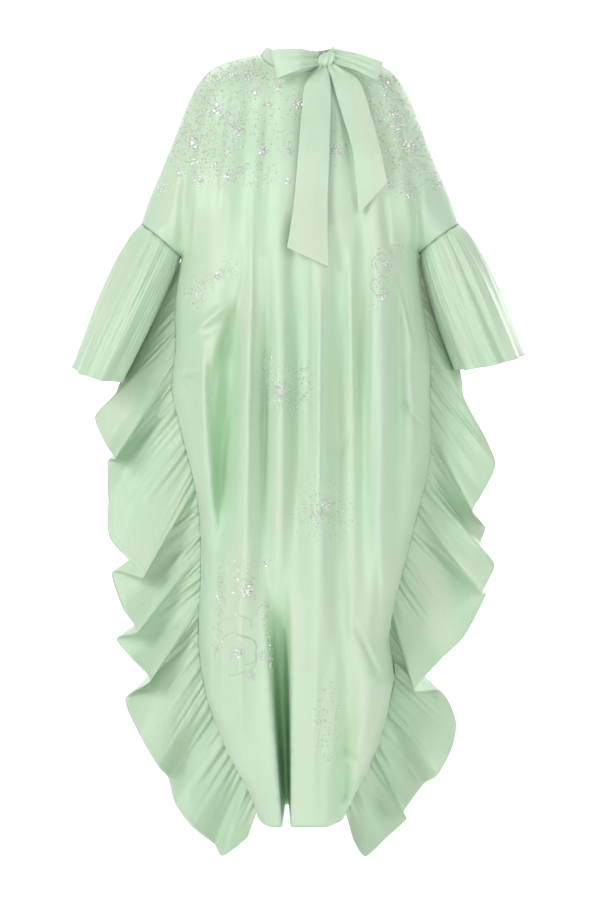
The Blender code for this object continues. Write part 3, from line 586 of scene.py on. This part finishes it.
def bell_grid(side_name):
    """The bell's outer points, row by row from the sleeve end to the hem."""
    bell = BELL[side_name]
    top, foot = sleeve_end[side_name]
    down = np.array([foot[1] - top[1], 0.0, top[0] - foot[0]])
    down /= np.linalg.norm(down) * (1.0 if down[2] < 0.0 else -1.0)
    run = np.linspace(0.0, 1.0, 33)[:, None]
    edge = top + (foot - top) * run
    ring = []
    for name, facing in (("front", -1.0), ("back", 1.0)):
        y = facing * panel_y(name, edge[:, 0], edge[:, 1])
        y[[0, -1]] = 0.0
        ring.append(np.stack([edge[:, 0], y, edge[:, 1]], axis=1))
    ring = np.concatenate([ring[0], ring[1][-2::-1]])
    root_middle = (ring[0] + ring[32]) / 2
    outer = np.array([bell.outer_x, 0.0, bell.outer_z])
    inner = np.array([bell.inner_x, 0.0, bell.inner_z])
    hem_middle, half = (outer + inner) / 2, (outer - inner) / 2
    turn = np.linspace(0.0, 1.0, 433)
    turn[-1] = 0.0
    angle = 2 * pi * turn
    root = along(ring, turn) - down * 0.0012
    hem = hem_middle + half * np.cos(angle)[:, None]
    hem[:, 1] = -bell.half_depth * np.sin(angle)
    hem[:, 2] -= bell.front_drop * np.maximum(0.0, np.sin(angle))
    grid = []
    for share in np.linspace(0.0, 1.0, 49):
        middle = root_middle + (hem_middle - root_middle) * share
        spot = root + (hem - root) * share ** 0.85
        outward = spot - middle
        outward /= np.linalg.norm(outward, axis=1)[:, None]
        uneven = 0.62 + 0.38 * np.sin(angle * 5 + 0.7) * np.sin(angle * 3 + 2.1)
        drift = angle * BELL_GATHERS + 0.9 * np.sin(angle * 4 + 0.5) + 0.5 * np.sin(angle * 7)
        fade = (1.0 - share) ** (1.1 + 0.5 * np.sin(angle * 6))
        gather = np.sin(drift) * BELL_GATHER_DEPTH * uneven * fade
        fine_gather = np.sin(angle * 41 + 1.3 * np.sin(angle * 3)) * 0.0015
        fine_gather += np.sin(angle * 63 + 2.0 + 1.6 * np.sin(angle * 5)) * 0.0009
        gather += fine_gather * (1.0 - share) ** (1.5 + 0.8 * np.sin(angle * 9 + 1.0))
        gather *= BELL_GATHER_SHARE * smooth(share * 14)
        gather += np.sin(angle * 13 + 2.4 * share) * 0.0010 * sin(pi * share)
        fade = sin(pi * min(1.0, share * 0.55 + 0.12))
        for flute in FLUTES:
            off = (angle - flute.angle - flute.drift * share + pi) % (2 * pi) - pi
            off = off / np.where(off > 0.0, FLUTE_SLOW, FLUTE_STEEP)
            gather -= flute.depth * FLUTE_SHARE * np.exp(-off ** 2) * fade
        wave = np.sin(angle * bell.waves + 0.8) * BELL_WAVE_DEPTH * share
        puff = np.maximum(0.0, np.cos(angle))
        puff = bell.inner_puff + (bell.outer_puff - bell.inner_puff) * puff
        push = gather + wave + puff * sin(pi * share ** 0.6)
        push -= BELL_GATHER_DEPTH * (1.0 - share) * 0.3
        push += BELL_HEM_RIDGE * (share > 0.96)
        grid.append(spot + outward * push[:, None])
    return np.array(grid), (root_middle + hem_middle) / 2


flounce_satin = satin("flounce_satin", (0.530, 0.700, 0.522), 34.0)
for side_name in BELL:
    grid, inside = bell_grid(side_name)
    middle = Vector(inside)
    flounce = sheet_piece(side_name + "_flounce_cloth", grid, lambda spot: spot - middle,
                          closed=True)
    flounce.data.materials.append(flounce_satin)
    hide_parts(side_name + "_flounce")

# Side ruffles
# Long strips of the satin, gathered into the side seams from the underarm to the hem. Their
# free edges swing forward and back in deep flutes and end in a narrow turned hem.
Wave = namedtuple("Wave", "root_z edge_x edge_z forward")
RUFFLE = {
    "left": [
        Wave(-0.387, -0.2390, -0.3935, -0.007),
        Wave(-0.398, -0.2470, -0.411, -0.016),
        Wave(-0.412, -0.247, -0.430, -0.020),
        Wave(-0.430, -0.264, -0.461, -0.034),
        Wave(-0.450, -0.284, -0.497, -0.046),
        Wave(-0.470, -0.304, -0.533, -0.054),
        Wave(-0.490, -0.327, -0.577, -0.058),
        Wave(-0.506, -0.345, -0.613, -0.052),
        Wave(-0.516, -0.351, -0.632, -0.030),
        Wave(-0.530, -0.357, -0.652, -0.002),
        Wave(-0.542, -0.392, -0.692, 0.015),
        Wave(-0.560, -0.370, -0.745, 0.030),
        Wave(-0.600, -0.350, -0.772, 0.055),
        Wave(-0.645, -0.372, -0.778, -0.030),
        Wave(-0.690, -0.368, -0.850, 0.000),
        Wave(-0.740, -0.362, -0.925, 0.025),
        Wave(-0.822, -0.295, -0.995, 0.060),
        Wave(-0.868, -0.364, -0.992, -0.035),
        Wave(-0.908, -0.342, -1.060, -0.012),
        Wave(-0.948, -0.308, -1.100, 0.042),
        Wave(-0.998, -0.355, -1.120, -0.026),
        Wave(-1.028, -0.326, -1.156, -0.010),
        Wave(-1.058, -0.284, -1.192, 0.050),
        Wave(-1.102, -0.338, -1.238, -0.030),
        Wave(-1.150, -0.305, -1.300, 0.025),
        Wave(-1.215, -0.270, -1.355, 0.040),
        Wave(-1.255, -0.254, -1.390, -0.020),
        Wave(-1.310, -0.238, -1.432, 0.015),
        Wave(-1.350, -0.205, -1.470, 0.040),
        Wave(-1.385, -0.165, -1.512, 0.000),
        Wave(-1.420, -0.146, -1.528, 0.030),
        Wave(HEM_HEIGHT, -0.100, -1.497, 0.010),
    ],
    "right": [
        Wave(-0.379, 0.2315, -0.384, -0.003),
        Wave(-0.392, 0.239, -0.403, -0.010),
        Wave(-0.412, 0.246, -0.428, -0.018),
        Wave(-0.436, 0.258, -0.457, -0.032),
        Wave(-0.460, 0.273, -0.495, -0.044),
        Wave(-0.482, 0.288, -0.532, -0.052),
        Wave(-0.500, 0.301, -0.569, -0.056),
        Wave(-0.516, 0.312, -0.603, -0.048),
        Wave(-0.526, 0.314, -0.628, -0.026),
        Wave(-0.538, 0.314, -0.654, 0.000),
        Wave(-0.552, 0.334, -0.694, 0.006),
        Wave(-0.568, 0.356, -0.735, 0.010),
        Wave(-0.625, 0.372, -0.785, 0.030),
        Wave(-0.690, 0.346, -0.838, 0.045),
        Wave(-0.716, 0.326, -0.872, 0.058),
        Wave(-0.756, 0.359, -0.906, -0.032),
        Wave(-0.792, 0.348, -0.938, -0.010),
        Wave(-0.830, 0.370, -0.975, 0.030),
        Wave(-0.875, 0.344, -1.026, 0.052),
        Wave(-0.900, 0.359, -1.037, -0.025),
        Wave(-0.960, 0.314, -1.113, 0.010),
        Wave(-1.030, 0.268, -1.155, 0.030),
        Wave(-1.074, 0.216, -1.210, 0.060),
        Wave(-1.122, 0.274, -1.224, -0.030),
        Wave(-1.165, 0.301, -1.278, -0.030),
        Wave(-1.215, 0.292, -1.320, 0.015),
        Wave(-1.265, 0.262, -1.370, 0.045),
        Wave(-1.300, 0.238, -1.402, -0.020),
        Wave(-1.335, 0.198, -1.440, 0.040),
        Wave(-1.365, 0.205, -1.470, -0.025),
        Wave(-1.400, 0.165, -1.498, 0.010),
        Wave(-1.430, 0.124, -1.528, 0.035),
        Wave(HEM_HEIGHT, 0.102, -1.500, 0.010),
    ],
}
RUFFLE_STEPS = 132         # small steps down a whole side seam; a gather takes three
RUFFLE_FINE = 4
RUFFLE_ACROSS = 36
RUFFLE_GATHER_DEPTH = 0.0032


def ruffle_grid(side_name):
    """The ruffle's points, row by row from the seam to the free edge."""
    rows = RUFFLE[side_name]
    outward = -1.0 if side_name == "left" else 1.0
    coarse = along(side[side_name], np.arange(RUFFLE_STEPS + 1) / RUFFLE_STEPS)
    first = int(np.argmax(coarse[:, 1] <= rows[0].root_z))
    k = np.linspace(0, RUFFLE_STEPS - first, (RUFFLE_STEPS - first) * RUFFLE_FINE + 1)
    flat = along(side[side_name], (first + k) / RUFFLE_STEPS)
    tangent = np.gradient(flat, axis=0)
    tangent /= np.linalg.norm(tangent, axis=1)[:, None]
    away = np.stack([-tangent[:, 1], tangent[:, 0]], axis=1)
    away *= np.sign(away[:, :1]) * outward
    heights = np.array([row.root_z for row in rows])
    places = np.interp(-flat[:, 1], -heights, np.arange(len(rows)))
    wave = curve(rows, places, 0.40)
    start = flat - away * 0.0012
    to_edge = wave[:, 1:3] - start
    slant = np.abs((to_edge * away).sum(axis=1)) / np.linalg.norm(to_edge, axis=1)
    openness = np.minimum(1.0, 1.3 * slant) ** 2 * smooth(k / 9)
    uneven = 0.9 + 0.25 * np.sin(k * 0.61) + 0.2 * np.sin(k * 0.23 + 1.0)
    drift = 2 * pi * (k + 0.5) / 3 + 1.1 * np.sin(k * 0.43) + 0.6 * np.sin(k * 1.07 + 0.6)
    gather = np.sin(drift) * RUFFLE_GATHER_DEPTH * uneven
    reach = 1.5 - 0.45 * np.sin(k * 0.77 + 1.9 * np.sin(k * 0.19))
    small = np.sin(k * 3.7 + 1.1 * np.sin(k * 0.37)) * 0.0010 * (1.0 + 0.5 * np.sin(k * 0.9))
    long_crease = np.sin(k * 0.83 + 1.2 * np.sin(k * 0.21)) * 0.0030
    grid = []
    for share in np.linspace(0.0, 1.0, RUFFLE_ACROSS + 1):
        spot = start + to_edge * share
        y = -wave[:, 3] * share ** 1.2
        fade = np.maximum(0.0, 1.0 - share * reach)
        y += gather * openness * fade * (0.4 + 0.6 * smooth(share * 12))
        y += small * openness * max(0.0, 1.0 - share * 1.25)
        y -= HEM_RIDGE * (share > 0.96)
        y += long_crease * openness * sin(pi * share ** 0.8)
        grid.append(np.stack([spot[:, 0], y, spot[:, 1]], axis=1))
    return np.array(grid)


ruffle_satin = satin("ruffle_satin", (0.512, 0.686, 0.502), 40.0)
for side_name, cut_length in (("left", 1.55), ("right", 1.50)):
    back = Vector((0.0, 1.0, 0.0))
    ruffle = sheet_piece(side_name + "_ruffle_cloth", ruffle_grid(side_name), lambda spot: back)
    ruffle.data.materials.append(ruffle_satin)
    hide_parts(side_name + "_ruffle")

# Collar and tie
# A narrow stand collar and one long bias strip of the same satin, folded double, which is
# sewn round it and tied in a bow: a wrapped knot, two pleated loops and two hanging ends.
KNOT_X, KNOT_Z = 0.0495, -0.0255
KNOT_WIDE, KNOT_TALL = 0.036, 0.026
TIE_CLOTH = 0.0018
TIE_CLEARANCE = 0.003
LEFT_TAIL_LIFT = 0.006     # the left end passes in front
COLLAR_LOWER = 0.0012      # the soft collar sits a little lower than its solid
Loop = namedtuple("Loop", "end_x slant root_top root_foot end_top end_foot belly pleats")
LOOP = {
    "left": Loop(-0.0490, 0.0122, -0.0125, -0.039, -0.0115, -0.066, 0.015, 2.2),
    "right": Loop(0.1500, -0.0110, -0.006, -0.034, -0.033, -0.068, 0.014, 2.7),
}
Strip = namedtuple("Strip", "left_x left_z right_x right_z")
TAIL = {
    "left": [
        Strip(0.034, -0.034, 0.052, -0.034),
        Strip(0.009, -0.076, 0.0575, -0.080),
        Strip(0.003, -0.125, 0.0575, -0.133),
        Strip(-0.011, -0.294, 0.052, -0.300),
        Strip(-0.024, -0.384, 0.0535, -0.420),
    ],
    "right": [
        Strip(0.050, -0.034, 0.066, -0.034),
        Strip(0.063, -0.080, 0.110, -0.066),
        Strip(0.080, -0.137, 0.134, -0.133),
        Strip(0.097, -0.203, 0.150, -0.1995),
        Strip(0.109, -0.319, 0.163, -0.260),
    ],
}
TAIL_PLEATS = {"left": 1.8, "right": 1.4}
behind_tie = []
for node in ("front", "collar"):
    solid = bmesh.new()
    solid.from_mesh(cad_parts[node].data)
    behind_tie.append(BVHTree.FromBMesh(solid))
    solid.free()
knot_low, knot_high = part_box("knot")
tie_y = (knot_low[1] + knot_high[1]) / 2


def surface_y(x, z):
    """Where the front or the collar lies at a place in the front view, whichever is nearer."""
    hits = [tree.ray_cast(Vector((x, -1.0, z)), Vector((0.0, 1.0, 0.0)))[0] for tree in behind_tie]
    return min([hit.y for hit in hits if hit], default=0.0)


def loop_grid(side_name):
    """A strip that goes out from the knot, turns and comes back, pleated where it is tied."""
    loop = LOOP[side_name]
    outward = -1.0 if side_name == "left" else 1.0
    root_x = KNOT_X + outward * (KNOT_WIDE / 2 - 0.004)
    reach = loop.end_x - root_x
    fall = loop.end_foot - loop.root_top
    nearest = min(surface_y(root_x + reach * a / 8, loop.root_top + fall * b / 6)
                  for a in range(9) for b in range(7))
    clear_y = nearest - loop.belly - TIE_CLEARANCE
    turn = pi * (np.linspace(0.0, 1.0, 73) - 0.5)
    out = np.maximum(0.0, np.cos(turn)) ** 0.55
    thick = loop.belly * (0.35 + 0.65 * np.sin(pi * (0.08 + 0.72 * out)))
    middle_y = tie_y + (clear_y - tie_y) * smooth(out * 2.2)
    top = loop.root_top + (loop.end_top - loop.root_top) * out
    foot = loop.root_foot + (loop.end_foot - loop.root_foot) * out
    grid = []
    for height in np.linspace(0.0, 1.0, 37):
        x = root_x + (reach + loop.slant * (height - 0.5)) * out
        pleat = np.sin(2 * pi * loop.pleats * height + 0.6) * 0.0034 * (1.0 - out) ** 1.1
        long_pleat = np.sin(2 * pi * (1.35 * height + 0.12 + 0.10 * out)) * 0.0016
        long_pleat *= 1.0 - 0.7 * out
        y = middle_y + (thick + pleat + long_pleat) * np.sin(turn)
        grid.append(np.stack([x, y, top + (foot - top) * height], axis=1))
    return np.array(grid), Vector(((root_x + loop.end_x) / 2, (tie_y + clear_y) / 2, KNOT_Z))


def tail_grid(side_name, lift):
    """A hanging end: it comes out of the knot in soft pleats and lies flat on the front."""
    rows = curve(TAIL[side_name], np.linspace(0.0, 4.0, 15))
    heights = []
    for k, (left_x, left_z, right_x, right_z) in enumerate(rows):
        across = np.linspace(0.0, 1.0, 13)
        nearest = min(surface_y(left_x + (right_x - left_x) * c,
                                left_z + (right_z - left_z) * c + up)
                      for c in across for up in (-0.02, 0.0, 0.02))
        hang = smooth(k / 3)
        y = (nearest - TIE_CLEARANCE - lift) * hang + (tie_y - 0.003 + lift * 0.5) * (1.0 - hang)
        heights.append(min(y, nearest - TIE_CLEARANCE))
    places = np.linspace(0.0, 14.0, 85)
    fine_rows = curve(TAIL[side_name], places * 4.0 / 14.0)
    y = curve(np.array(heights)[:, None], places)[:, 0]
    c = np.linspace(0.0, 1.0, 29)
    grid = []
    for place, row, depth in zip(places, fine_rows, y):
        tied = max(0.0, 1.0 - place / 4.5) ** 1.3
        pleat = np.cos(2 * pi * TAIL_PLEATS[side_name] * (c - 0.5)) * 0.0026 * tied
        drift = np.sin(place * 0.9 + c * 2.2) * 0.0006
        crown = -0.0022 * np.sin(pi * c)
        grid.append(np.stack([row[0] + (row[2] - row[0]) * c, depth + crown + pleat + drift,
                              row[1] + (row[3] - row[1]) * c], axis=1))
    return np.array(grid)


def knot_grid():
    """The wrap of the knot: it goes round the loops from top to bottom, in soft ridges."""
    around = np.linspace(0.0, 2 * pi, 49)
    around[-1] = 0.0
    grid = []
    for across in np.linspace(-1.0, 1.0, 41):
        shrink = max(0.0, 1.0 - abs(across) ** 5) ** 0.5
        ridge = 0.0011 * np.sin(2 * pi * 1.7 * across + 0.9 * np.sin(around) + 0.5) * shrink
        up, ahead = np.sin(around), np.cos(around)
        tall = (KNOT_TALL / 2 - 0.002 * across ** 2) * shrink + ridge
        deep = (knot_high[1] - knot_low[1]) / 2 * shrink + ridge
        x = np.full(around.shape, KNOT_X + KNOT_WIDE / 2 * across)
        grid.append(np.stack([x + 0.006 * np.sin(around) * shrink,
                              tie_y - np.sign(ahead) * np.abs(ahead) ** 0.8 * deep,
                              KNOT_Z + np.sign(up) * np.abs(up) ** 0.8 * tall], axis=1))
    return np.array(grid)


tie_satin = satin("tie_satin", (0.545, 0.700, 0.534), 30.0)
tie_pieces = {}
for side_name in LOOP:
    grid, inside = loop_grid(side_name)
    tie_pieces[side_name + "_loop"] = sheet_piece(
        side_name + "_loop_cloth", grid, lambda spot: spot - inside, TIE_CLOTH)
for side_name, lift in (("left", LEFT_TAIL_LIFT), ("right", 0.0)):
    tie_pieces[side_name + "_tail"] = sheet_piece(
        side_name + "_tail_cloth", tail_grid(side_name, lift),
        lambda spot: Vector((0.0, -1.0, 0.0)), TIE_CLOTH)
knot_middle = Vector((KNOT_X, tie_y, KNOT_Z))
tie_pieces["knot"] = sheet_piece(
    "knot_cloth", knot_grid(), lambda spot: spot - knot_middle, TIE_CLOTH, closed=True)

band = bmesh.new()
band.from_mesh(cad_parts["collar"].data)
bmesh.ops.remove_doubles(band, verts=band.verts, dist=1e-6)
bmesh.ops.join_triangles(band, faces=band.faces, angle_face_threshold=pi / 4,
                         angle_shape_threshold=pi / 3)
for face in band.faces:
    face.smooth = True
for vert in band.verts:
    vert.co.z -= COLLAR_LOWER
band_mesh = bpy.data.meshes.new("collar_cloth")
band.to_mesh(band_mesh)
band.free()
collar = put("collar_cloth", band_mesh)
soft = collar.modifiers.new("soft", "SUBSURF")
soft.levels = soft.render_levels = 2
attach(collar, "root")
tie_pieces["collar"] = collar

for node, piece in tie_pieces.items():
    piece.data.materials.append(tie_satin)
    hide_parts(node)

# Crystal and bead embroidery
# Crystal flowers, silver beads and blush bead scrolls are sewn on by hand, close together over
# the shoulders, with loose sunbursts, sprays and an outlined flower down the front.
chance = np.random.default_rng(34)
Flower = namedtuple("Flower", "x z size")
FLOWERS = [
    Flower(-0.100, -0.038, 0.0112), Flower(-0.156, -0.101, 0.0125), Flower(-0.121, -0.143, 0.0100),
    Flower(-0.205, -0.167, 0.0125), Flower(-0.202, -0.204, 0.0088), Flower(-0.194, -0.238, 0.0112),
    Flower(-0.264, -0.252, 0.0100), Flower(-0.003, -0.091, 0.0112), Flower(-0.070, -0.183, 0.0112),
    Flower(-0.023, -0.182, 0.0088), Flower(0.070, -0.181, 0.0112), Flower(-0.024, -0.240, 0.0063),
    Flower(0.209, -0.171, 0.0125), Flower(0.173, -0.246, 0.0075), Flower(0.213, -0.266, 0.0088),
    Flower(0.267, -0.247, 0.0100), Flower(0.165, -0.058, 0.0100), Flower(0.178, -0.111, 0.0100),
    Flower(0.186, -0.135, 0.0088), Flower(-0.086, -0.071, 0.0100), Flower(-0.042, -0.058, 0.0075),
    Flower(-0.139, -0.231, 0.0075), Flower(-0.112, -0.215, 0.0075), Flower(-0.059, -0.090, 0.0063),
    Flower(0.253, -0.192, 0.0063), Flower(0.229, -0.119, 0.0075), Flower(-0.165, -0.211, 0.0075),
    Flower(-0.236, -0.222, 0.0063), Flower(-0.224, -0.127, 0.0075), Flower(0.134, -0.055, 0.0063),
    Flower(-0.184, -0.080, 0.0063), Flower(-0.142, -0.181, 0.0063), Flower(0.241, -0.222, 0.0063),
    Flower(-0.158, -0.423, 0.0085), Flower(0.162, -0.397, 0.0069), Flower(0.158, -0.461, 0.0081),
    Flower(-0.200, -0.450, 0.0085),
    Flower(-0.035, -0.640, 0.0095), Flower(-0.047, -0.674, 0.0056), Flower(0.050, -0.862, 0.0085),
    Flower(0.029, -0.881, 0.0070), Flower(-0.101, -1.026, 0.0120), Flower(-0.121, -1.147, 0.0105),
    Flower(-0.066, -0.974, 0.0069), Flower(-0.094, -1.190, 0.0069), Flower(-0.150, -1.043, 0.0085),
]
Burst = namedtuple("Burst", "x z reach start end rays")
BURSTS = [
    Burst(-0.158, -0.423, 0.048, -0.2, 1.4, 11), Burst(-0.158, -0.423, 0.040, 2.6, 4.6, 9),
    Burst(-0.035, -0.640, 0.076, 0.0, 6.2, 30), Burst(0.044, -0.868, 0.078, 0.0, 6.2, 34),
    Burst(-0.101, -1.026, 0.074, 1.05, 2.1, 8), Burst(-0.101, -1.026, 0.030, 3.4, 5.9, 9),
    Burst(-0.121, -1.147, 0.024, 0.0, 6.0, 10), Burst(-0.090, -1.150, 0.040, -0.5, 0.5, 8),
    Burst(0.150, -0.470, 0.030, 3.6, 5.6, 8), Burst(-0.200, -0.450, 0.034, 3.4, 5.8, 9),
]
# Patches of scattered beads: middle, half sizes, how many beads, and the share of blush ones
Patch = namedtuple("Patch", "x z half_x half_z count blush")
PATCHES = [
    Patch(-0.165, -0.110, 0.090, 0.085, 400, 0.50), Patch(-0.195, -0.190, 0.060, 0.060, 230, 0.55),
    Patch(-0.120, -0.225, 0.085, 0.028, 150, 0.50), Patch(-0.050, -0.110, 0.050, 0.075, 110, 0.40),
    Patch(0.190, -0.120, 0.060, 0.090, 400, 0.55), Patch(0.215, -0.225, 0.050, 0.060, 150, 0.50),
    Patch(-0.125, -0.028, 0.060, 0.022, 130, 0.65), Patch(-0.080, -0.030, 0.024, 0.030, 60, 0.75),
    Patch(0.165, -0.040, 0.045, 0.022, 100, 0.65), Patch(-0.176, -0.070, 0.020, 0.050, 90, 0.75),
    Patch(-0.226, -0.150, 0.016, 0.060, 50, 0.70), Patch(0.235, -0.145, 0.014, 0.070, 60, 0.70),
    Patch(0.075, -0.180, 0.020, 0.040, 16, 0.30), Patch(-0.200, -0.455, 0.026, 0.038, 50, 0.60),
    Patch(0.158, -0.420, 0.018, 0.056, 80, 0.65), Patch(0.010, -0.640, 0.014, 0.060, 46, 0.75),
    Patch(-0.060, -0.610, 0.012, 0.060, 34, 0.60), Patch(-0.038, -0.650, 0.024, 0.028, 56, 0.60),
    Patch(0.038, -0.868, 0.030, 0.034, 80, 0.60), Patch(-0.153, -1.030, 0.012, 0.050, 46, 0.60),
    Patch(-0.064, -1.070, 0.008, 0.060, 26, 0.30), Patch(-0.054, -1.160, 0.006, 0.045, 30, 0.10),
    Patch(-0.120, -1.000, 0.040, 0.034, 30, 0.30), Patch(0.050, -1.275, 0.030, 0.080, 90, 0.45),
    Patch(-0.100, -1.185, 0.016, 0.010, 14, 0.20), Patch(-0.160, -1.120, 0.010, 0.040, 16, 0.50),
]
Scroll = namedtuple("Scroll", "x z radius start end")
SCROLLS = [
    Scroll(0.185, -0.374, 0.013, 0.3, 5.9), Scroll(0.158, -0.398, 0.020, 0.6, 3.6),
    Scroll(0.156, -0.440, 0.020, 2.6, 5.6),
    Scroll(-0.122, -1.148, 0.040, -1.9, 3.7), Scroll(-0.112, -1.142, 0.030, -1.3, 1.9),
    Scroll(-0.140, -1.096, 0.016, 1.0, 4.0), Scroll(-0.117, -1.098, 0.025, 0.1, 2.2),
    Scroll(-0.070, -1.068, 0.014, 0.2, 3.4),
]
SHOULDER_SCROLLS = 30
RAY_STEP, SCROLL_STEP = 0.0046, 0.0034     # from bead to bead
BIG_FLOWER = 0.0080        # a flower above this size has seven petals in place of five
CRYSTAL_TILT = 0.30


def inside_front(x, z, margin):
    """Whether places lie on the front panel, clear of its edges."""
    limits = []
    for sleeve, seam in ((sleeve_left, side["left"]), (sleeve_right, side["right"])):
        edge = np.concatenate([sleeve, seam])
        limits.append(np.interp(-z, -edge[:, 1], edge[:, 0]))
    dip = np.sqrt(np.clip(1.0 - (x / NECK_HALF) ** 2, 0.0, 1.0))
    neck = NECK_HEIGHT - NECK_DIP["front"] * dip - 0.008
    slope = np.interp(np.abs(x), sleeve_right[:, 0], sleeve_right[:, 1]) - margin
    below = (z < neck) & (z < slope + (np.abs(x) < NECK_HALF))
    return (x > limits[0] + margin) & (x < limits[1] - margin) & below


def on_panel(name, x, z):
    """Points on a panel's cloth and the way it faces, from places in the front view."""
    facing = -1.0 if name == "front" else 1.0
    flat_x, flat_z = np.asarray(x, float), np.asarray(z, float)
    if name == "front":
        for _ in range(3):
            nearer = 1.0 - panel_y(name, flat_x, flat_z) / VIEW_DISTANCE
            flat_x, flat_z = x * nearer, VIEW_HEIGHT + (z - VIEW_HEIGHT) * nearer
    step = 0.0015
    depth = panel_y(name, flat_x, flat_z)
    slope_x = panel_y(name, flat_x + step, flat_z) - panel_y(name, flat_x - step, flat_z)
    slope_z = panel_y(name, flat_x, flat_z + step) - panel_y(name, flat_x, flat_z - step)
    slope_x, slope_z = slope_x / step / 2, slope_z / step / 2
    faces = np.stack([-slope_x, np.full(depth.shape, facing), -slope_z], axis=1)
    faces /= np.linalg.norm(faces, axis=1)[:, None]
    spots = np.stack([flat_x, facing * (depth + 0.0002), flat_z], axis=1)
    kept = inside_front(flat_x, flat_z, 0.006)
    return spots, faces, kept


def jewel_finish(name, colour, metal, rough, clear):
    """A polished finish whose tone changes from bead to bead: partly the beads' own tone, partly
    painted reflection, darker and paler facets that stand in for dark and bright surroundings.
    """
    material = new_material(name, {
        "Metallic": metal, "Roughness": rough, "Coat Weight": clear, "Coat Roughness": 0.05})
    tree = material.node_tree
    place = tree.nodes.new("ShaderNodeTexCoord").outputs
    # Darker and paler patches: partly each bead's own tone, partly painted reflection in the facets
    tone_and_painted_reflection = add_node(tree, "TexNoise", {"Vector": place["Object"], "Scale": 260.0})
    feed(tree, tree.nodes["Principled BSDF"].inputs["Base Color"],
         blend(tree, tone_and_painted_reflection.outputs["Fac"], tinted(colour, 0.62), tinted(colour, 1.25)))
    return material


def sew_on(name, placed, material, faceted):
    """Sew crystals or beads on, each on its spot, as one piece, a hundred at a time."""
    mesh = bpy.data.meshes.new(name)
    work = bmesh.new()
    for first in range(0, len(placed), 100):
        handful = bmesh.new()
        for spot, face, size in placed[first:first + 100]:
            if faceted:
                face = face + chance.uniform(-CRYSTAL_TILT, CRYSTAL_TILT, 3)
                face = face / np.linalg.norm(face)
            turn = Vector((0.0, 0.0, 1.0)).rotation_difference(Vector(face)).to_matrix().to_4x4()
            place = Matrix.Translation(Vector(spot) + Vector(face) * size * 0.30) @ turn
            if faceted:
                bmesh.ops.create_cone(handful, cap_ends=True, segments=8, radius1=size,
                                      radius2=size * 0.5, depth=size * 0.9, matrix=place)
            else:
                bmesh.ops.create_icosphere(handful, subdivisions=1, radius=size,
                                           matrix=place @ Matrix.Diagonal((1.0, 1.0, 0.8, 1.0)))
        handful.to_mesh(mesh)
        handful.free()
        work.from_mesh(mesh)
    work.to_mesh(mesh)
    work.free()
    mesh.materials.append(material)
    piece = put(name, mesh)
    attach(piece, "root")
    return piece


def chart(name):
    """Chart the embroidery of one panel: rows of x, z and size for each kind of bead."""
    crystals, silver, blush = [], [], []
    for flower in FLOWERS:
        if name == "back" and flower.z < -0.3:
            continue
        crystals.append((flower.x, flower.z, flower.size * 0.42))
        petals = 7 if flower.size > BIG_FLOWER else 5
        for petal in range(petals):
            angle = 2 * pi * petal / petals + flower.x * 40
            crystals.append((flower.x + cos(angle) * flower.size * 0.68,
                             flower.z + sin(angle) * flower.size * 0.68, flower.size * 0.29))
        for bead in range(2 * petals):
            angle = 2 * pi * (bead + 0.5) / petals / 2 + flower.z * 30
            reach = flower.size * (1.15 + 0.22 * (bead % 2))
            silver.append((flower.x + cos(angle) * reach, flower.z + sin(angle) * reach, 0.0009))
    for burst in BURSTS if name == "front" else []:
        for ray in range(burst.rays):
            turn = ray + 0.3 * chance.random()
            angle = burst.start + (burst.end - burst.start) * turn / burst.rays
            first = 0.010 + 0.006 * chance.random()
            last = burst.reach * (0.62 + 0.38 * chance.random())
            for reach in np.arange(first, last, RAY_STEP):
                if chance.random() < 0.80 - 0.30 * reach / burst.reach:
                    (blush if chance.random() < 0.2 else silver).append(
                        (burst.x + cos(angle) * reach, burst.z + sin(angle) * reach,
                         0.0008 + 0.0006 * chance.random()))
    for patch in PATCHES:
        if name == "back" and patch.z < -0.3:
            continue
        for _ in range(patch.count):
            reach, angle = chance.random() ** 0.6, 2 * pi * chance.random()
            row = (patch.x + cos(angle) * reach * patch.half_x,
                   patch.z + sin(angle) * reach * patch.half_z,
                   0.0009 + 0.0009 * chance.random())
            (blush if chance.random() < patch.blush else silver).append(row)
    scrolls = list(SCROLLS) if name == "front" else []
    for _ in range(SHOULDER_SCROLLS):
        which = -1.0 if chance.random() < 0.5 else 1.0
        reach, angle = chance.random() ** 0.5, 2 * pi * chance.random()
        x = which * (0.172 + 0.078 * cos(angle) * reach)
        z = -0.128 - 0.10 * sin(angle) * reach - 0.25 * (abs(x) - 0.17)
        start = 2 * pi * chance.random()
        radius = 0.006 + 0.007 * chance.random()
        scrolls.append(Scroll(x, z, radius, start, start + 2.2 + 2.2 * chance.random()))
    for scroll in scrolls:
        count = max(3, round((scroll.end - scroll.start) * scroll.radius / SCROLL_STEP))
        for bead, angle in enumerate(np.linspace(scroll.start, scroll.end, count)):
            reach = scroll.radius * (0.88 + 0.16 * abs(sin(2.5 * angle)))
            (silver if bead % 3 == 2 else blush).append(
                (scroll.x + cos(angle) * reach, scroll.z + sin(angle) * reach, 0.0013))
    return {"crystals": crystals, "silver": silver, "blush": blush}


JEWELS = {
    "crystals": (jewel_finish("crystal", (0.97, 0.97, 0.96), 0.35, 0.12, 0.8), True),
    "silver": (jewel_finish("silver_bead", (0.90, 0.89, 0.86), 0.35, 0.20, 0.5), False),
    "blush": (jewel_finish("blush_bead", (0.64, 0.60, 0.51), 0.15, 0.26, 0.4), False),
}
for name in ("front", "back"):
    for kind, rows in chart(name).items():
        table = np.array(rows)
        spots, faces, kept = on_panel(name, table[:, 0], table[:, 1])
        material, faceted = JEWELS[kind]
        placed = [row for row, keep in zip(zip(spots, faces, table[:, 2]), kept) if keep]
        sew_on(name + "_" + kind, placed, material, faceted)
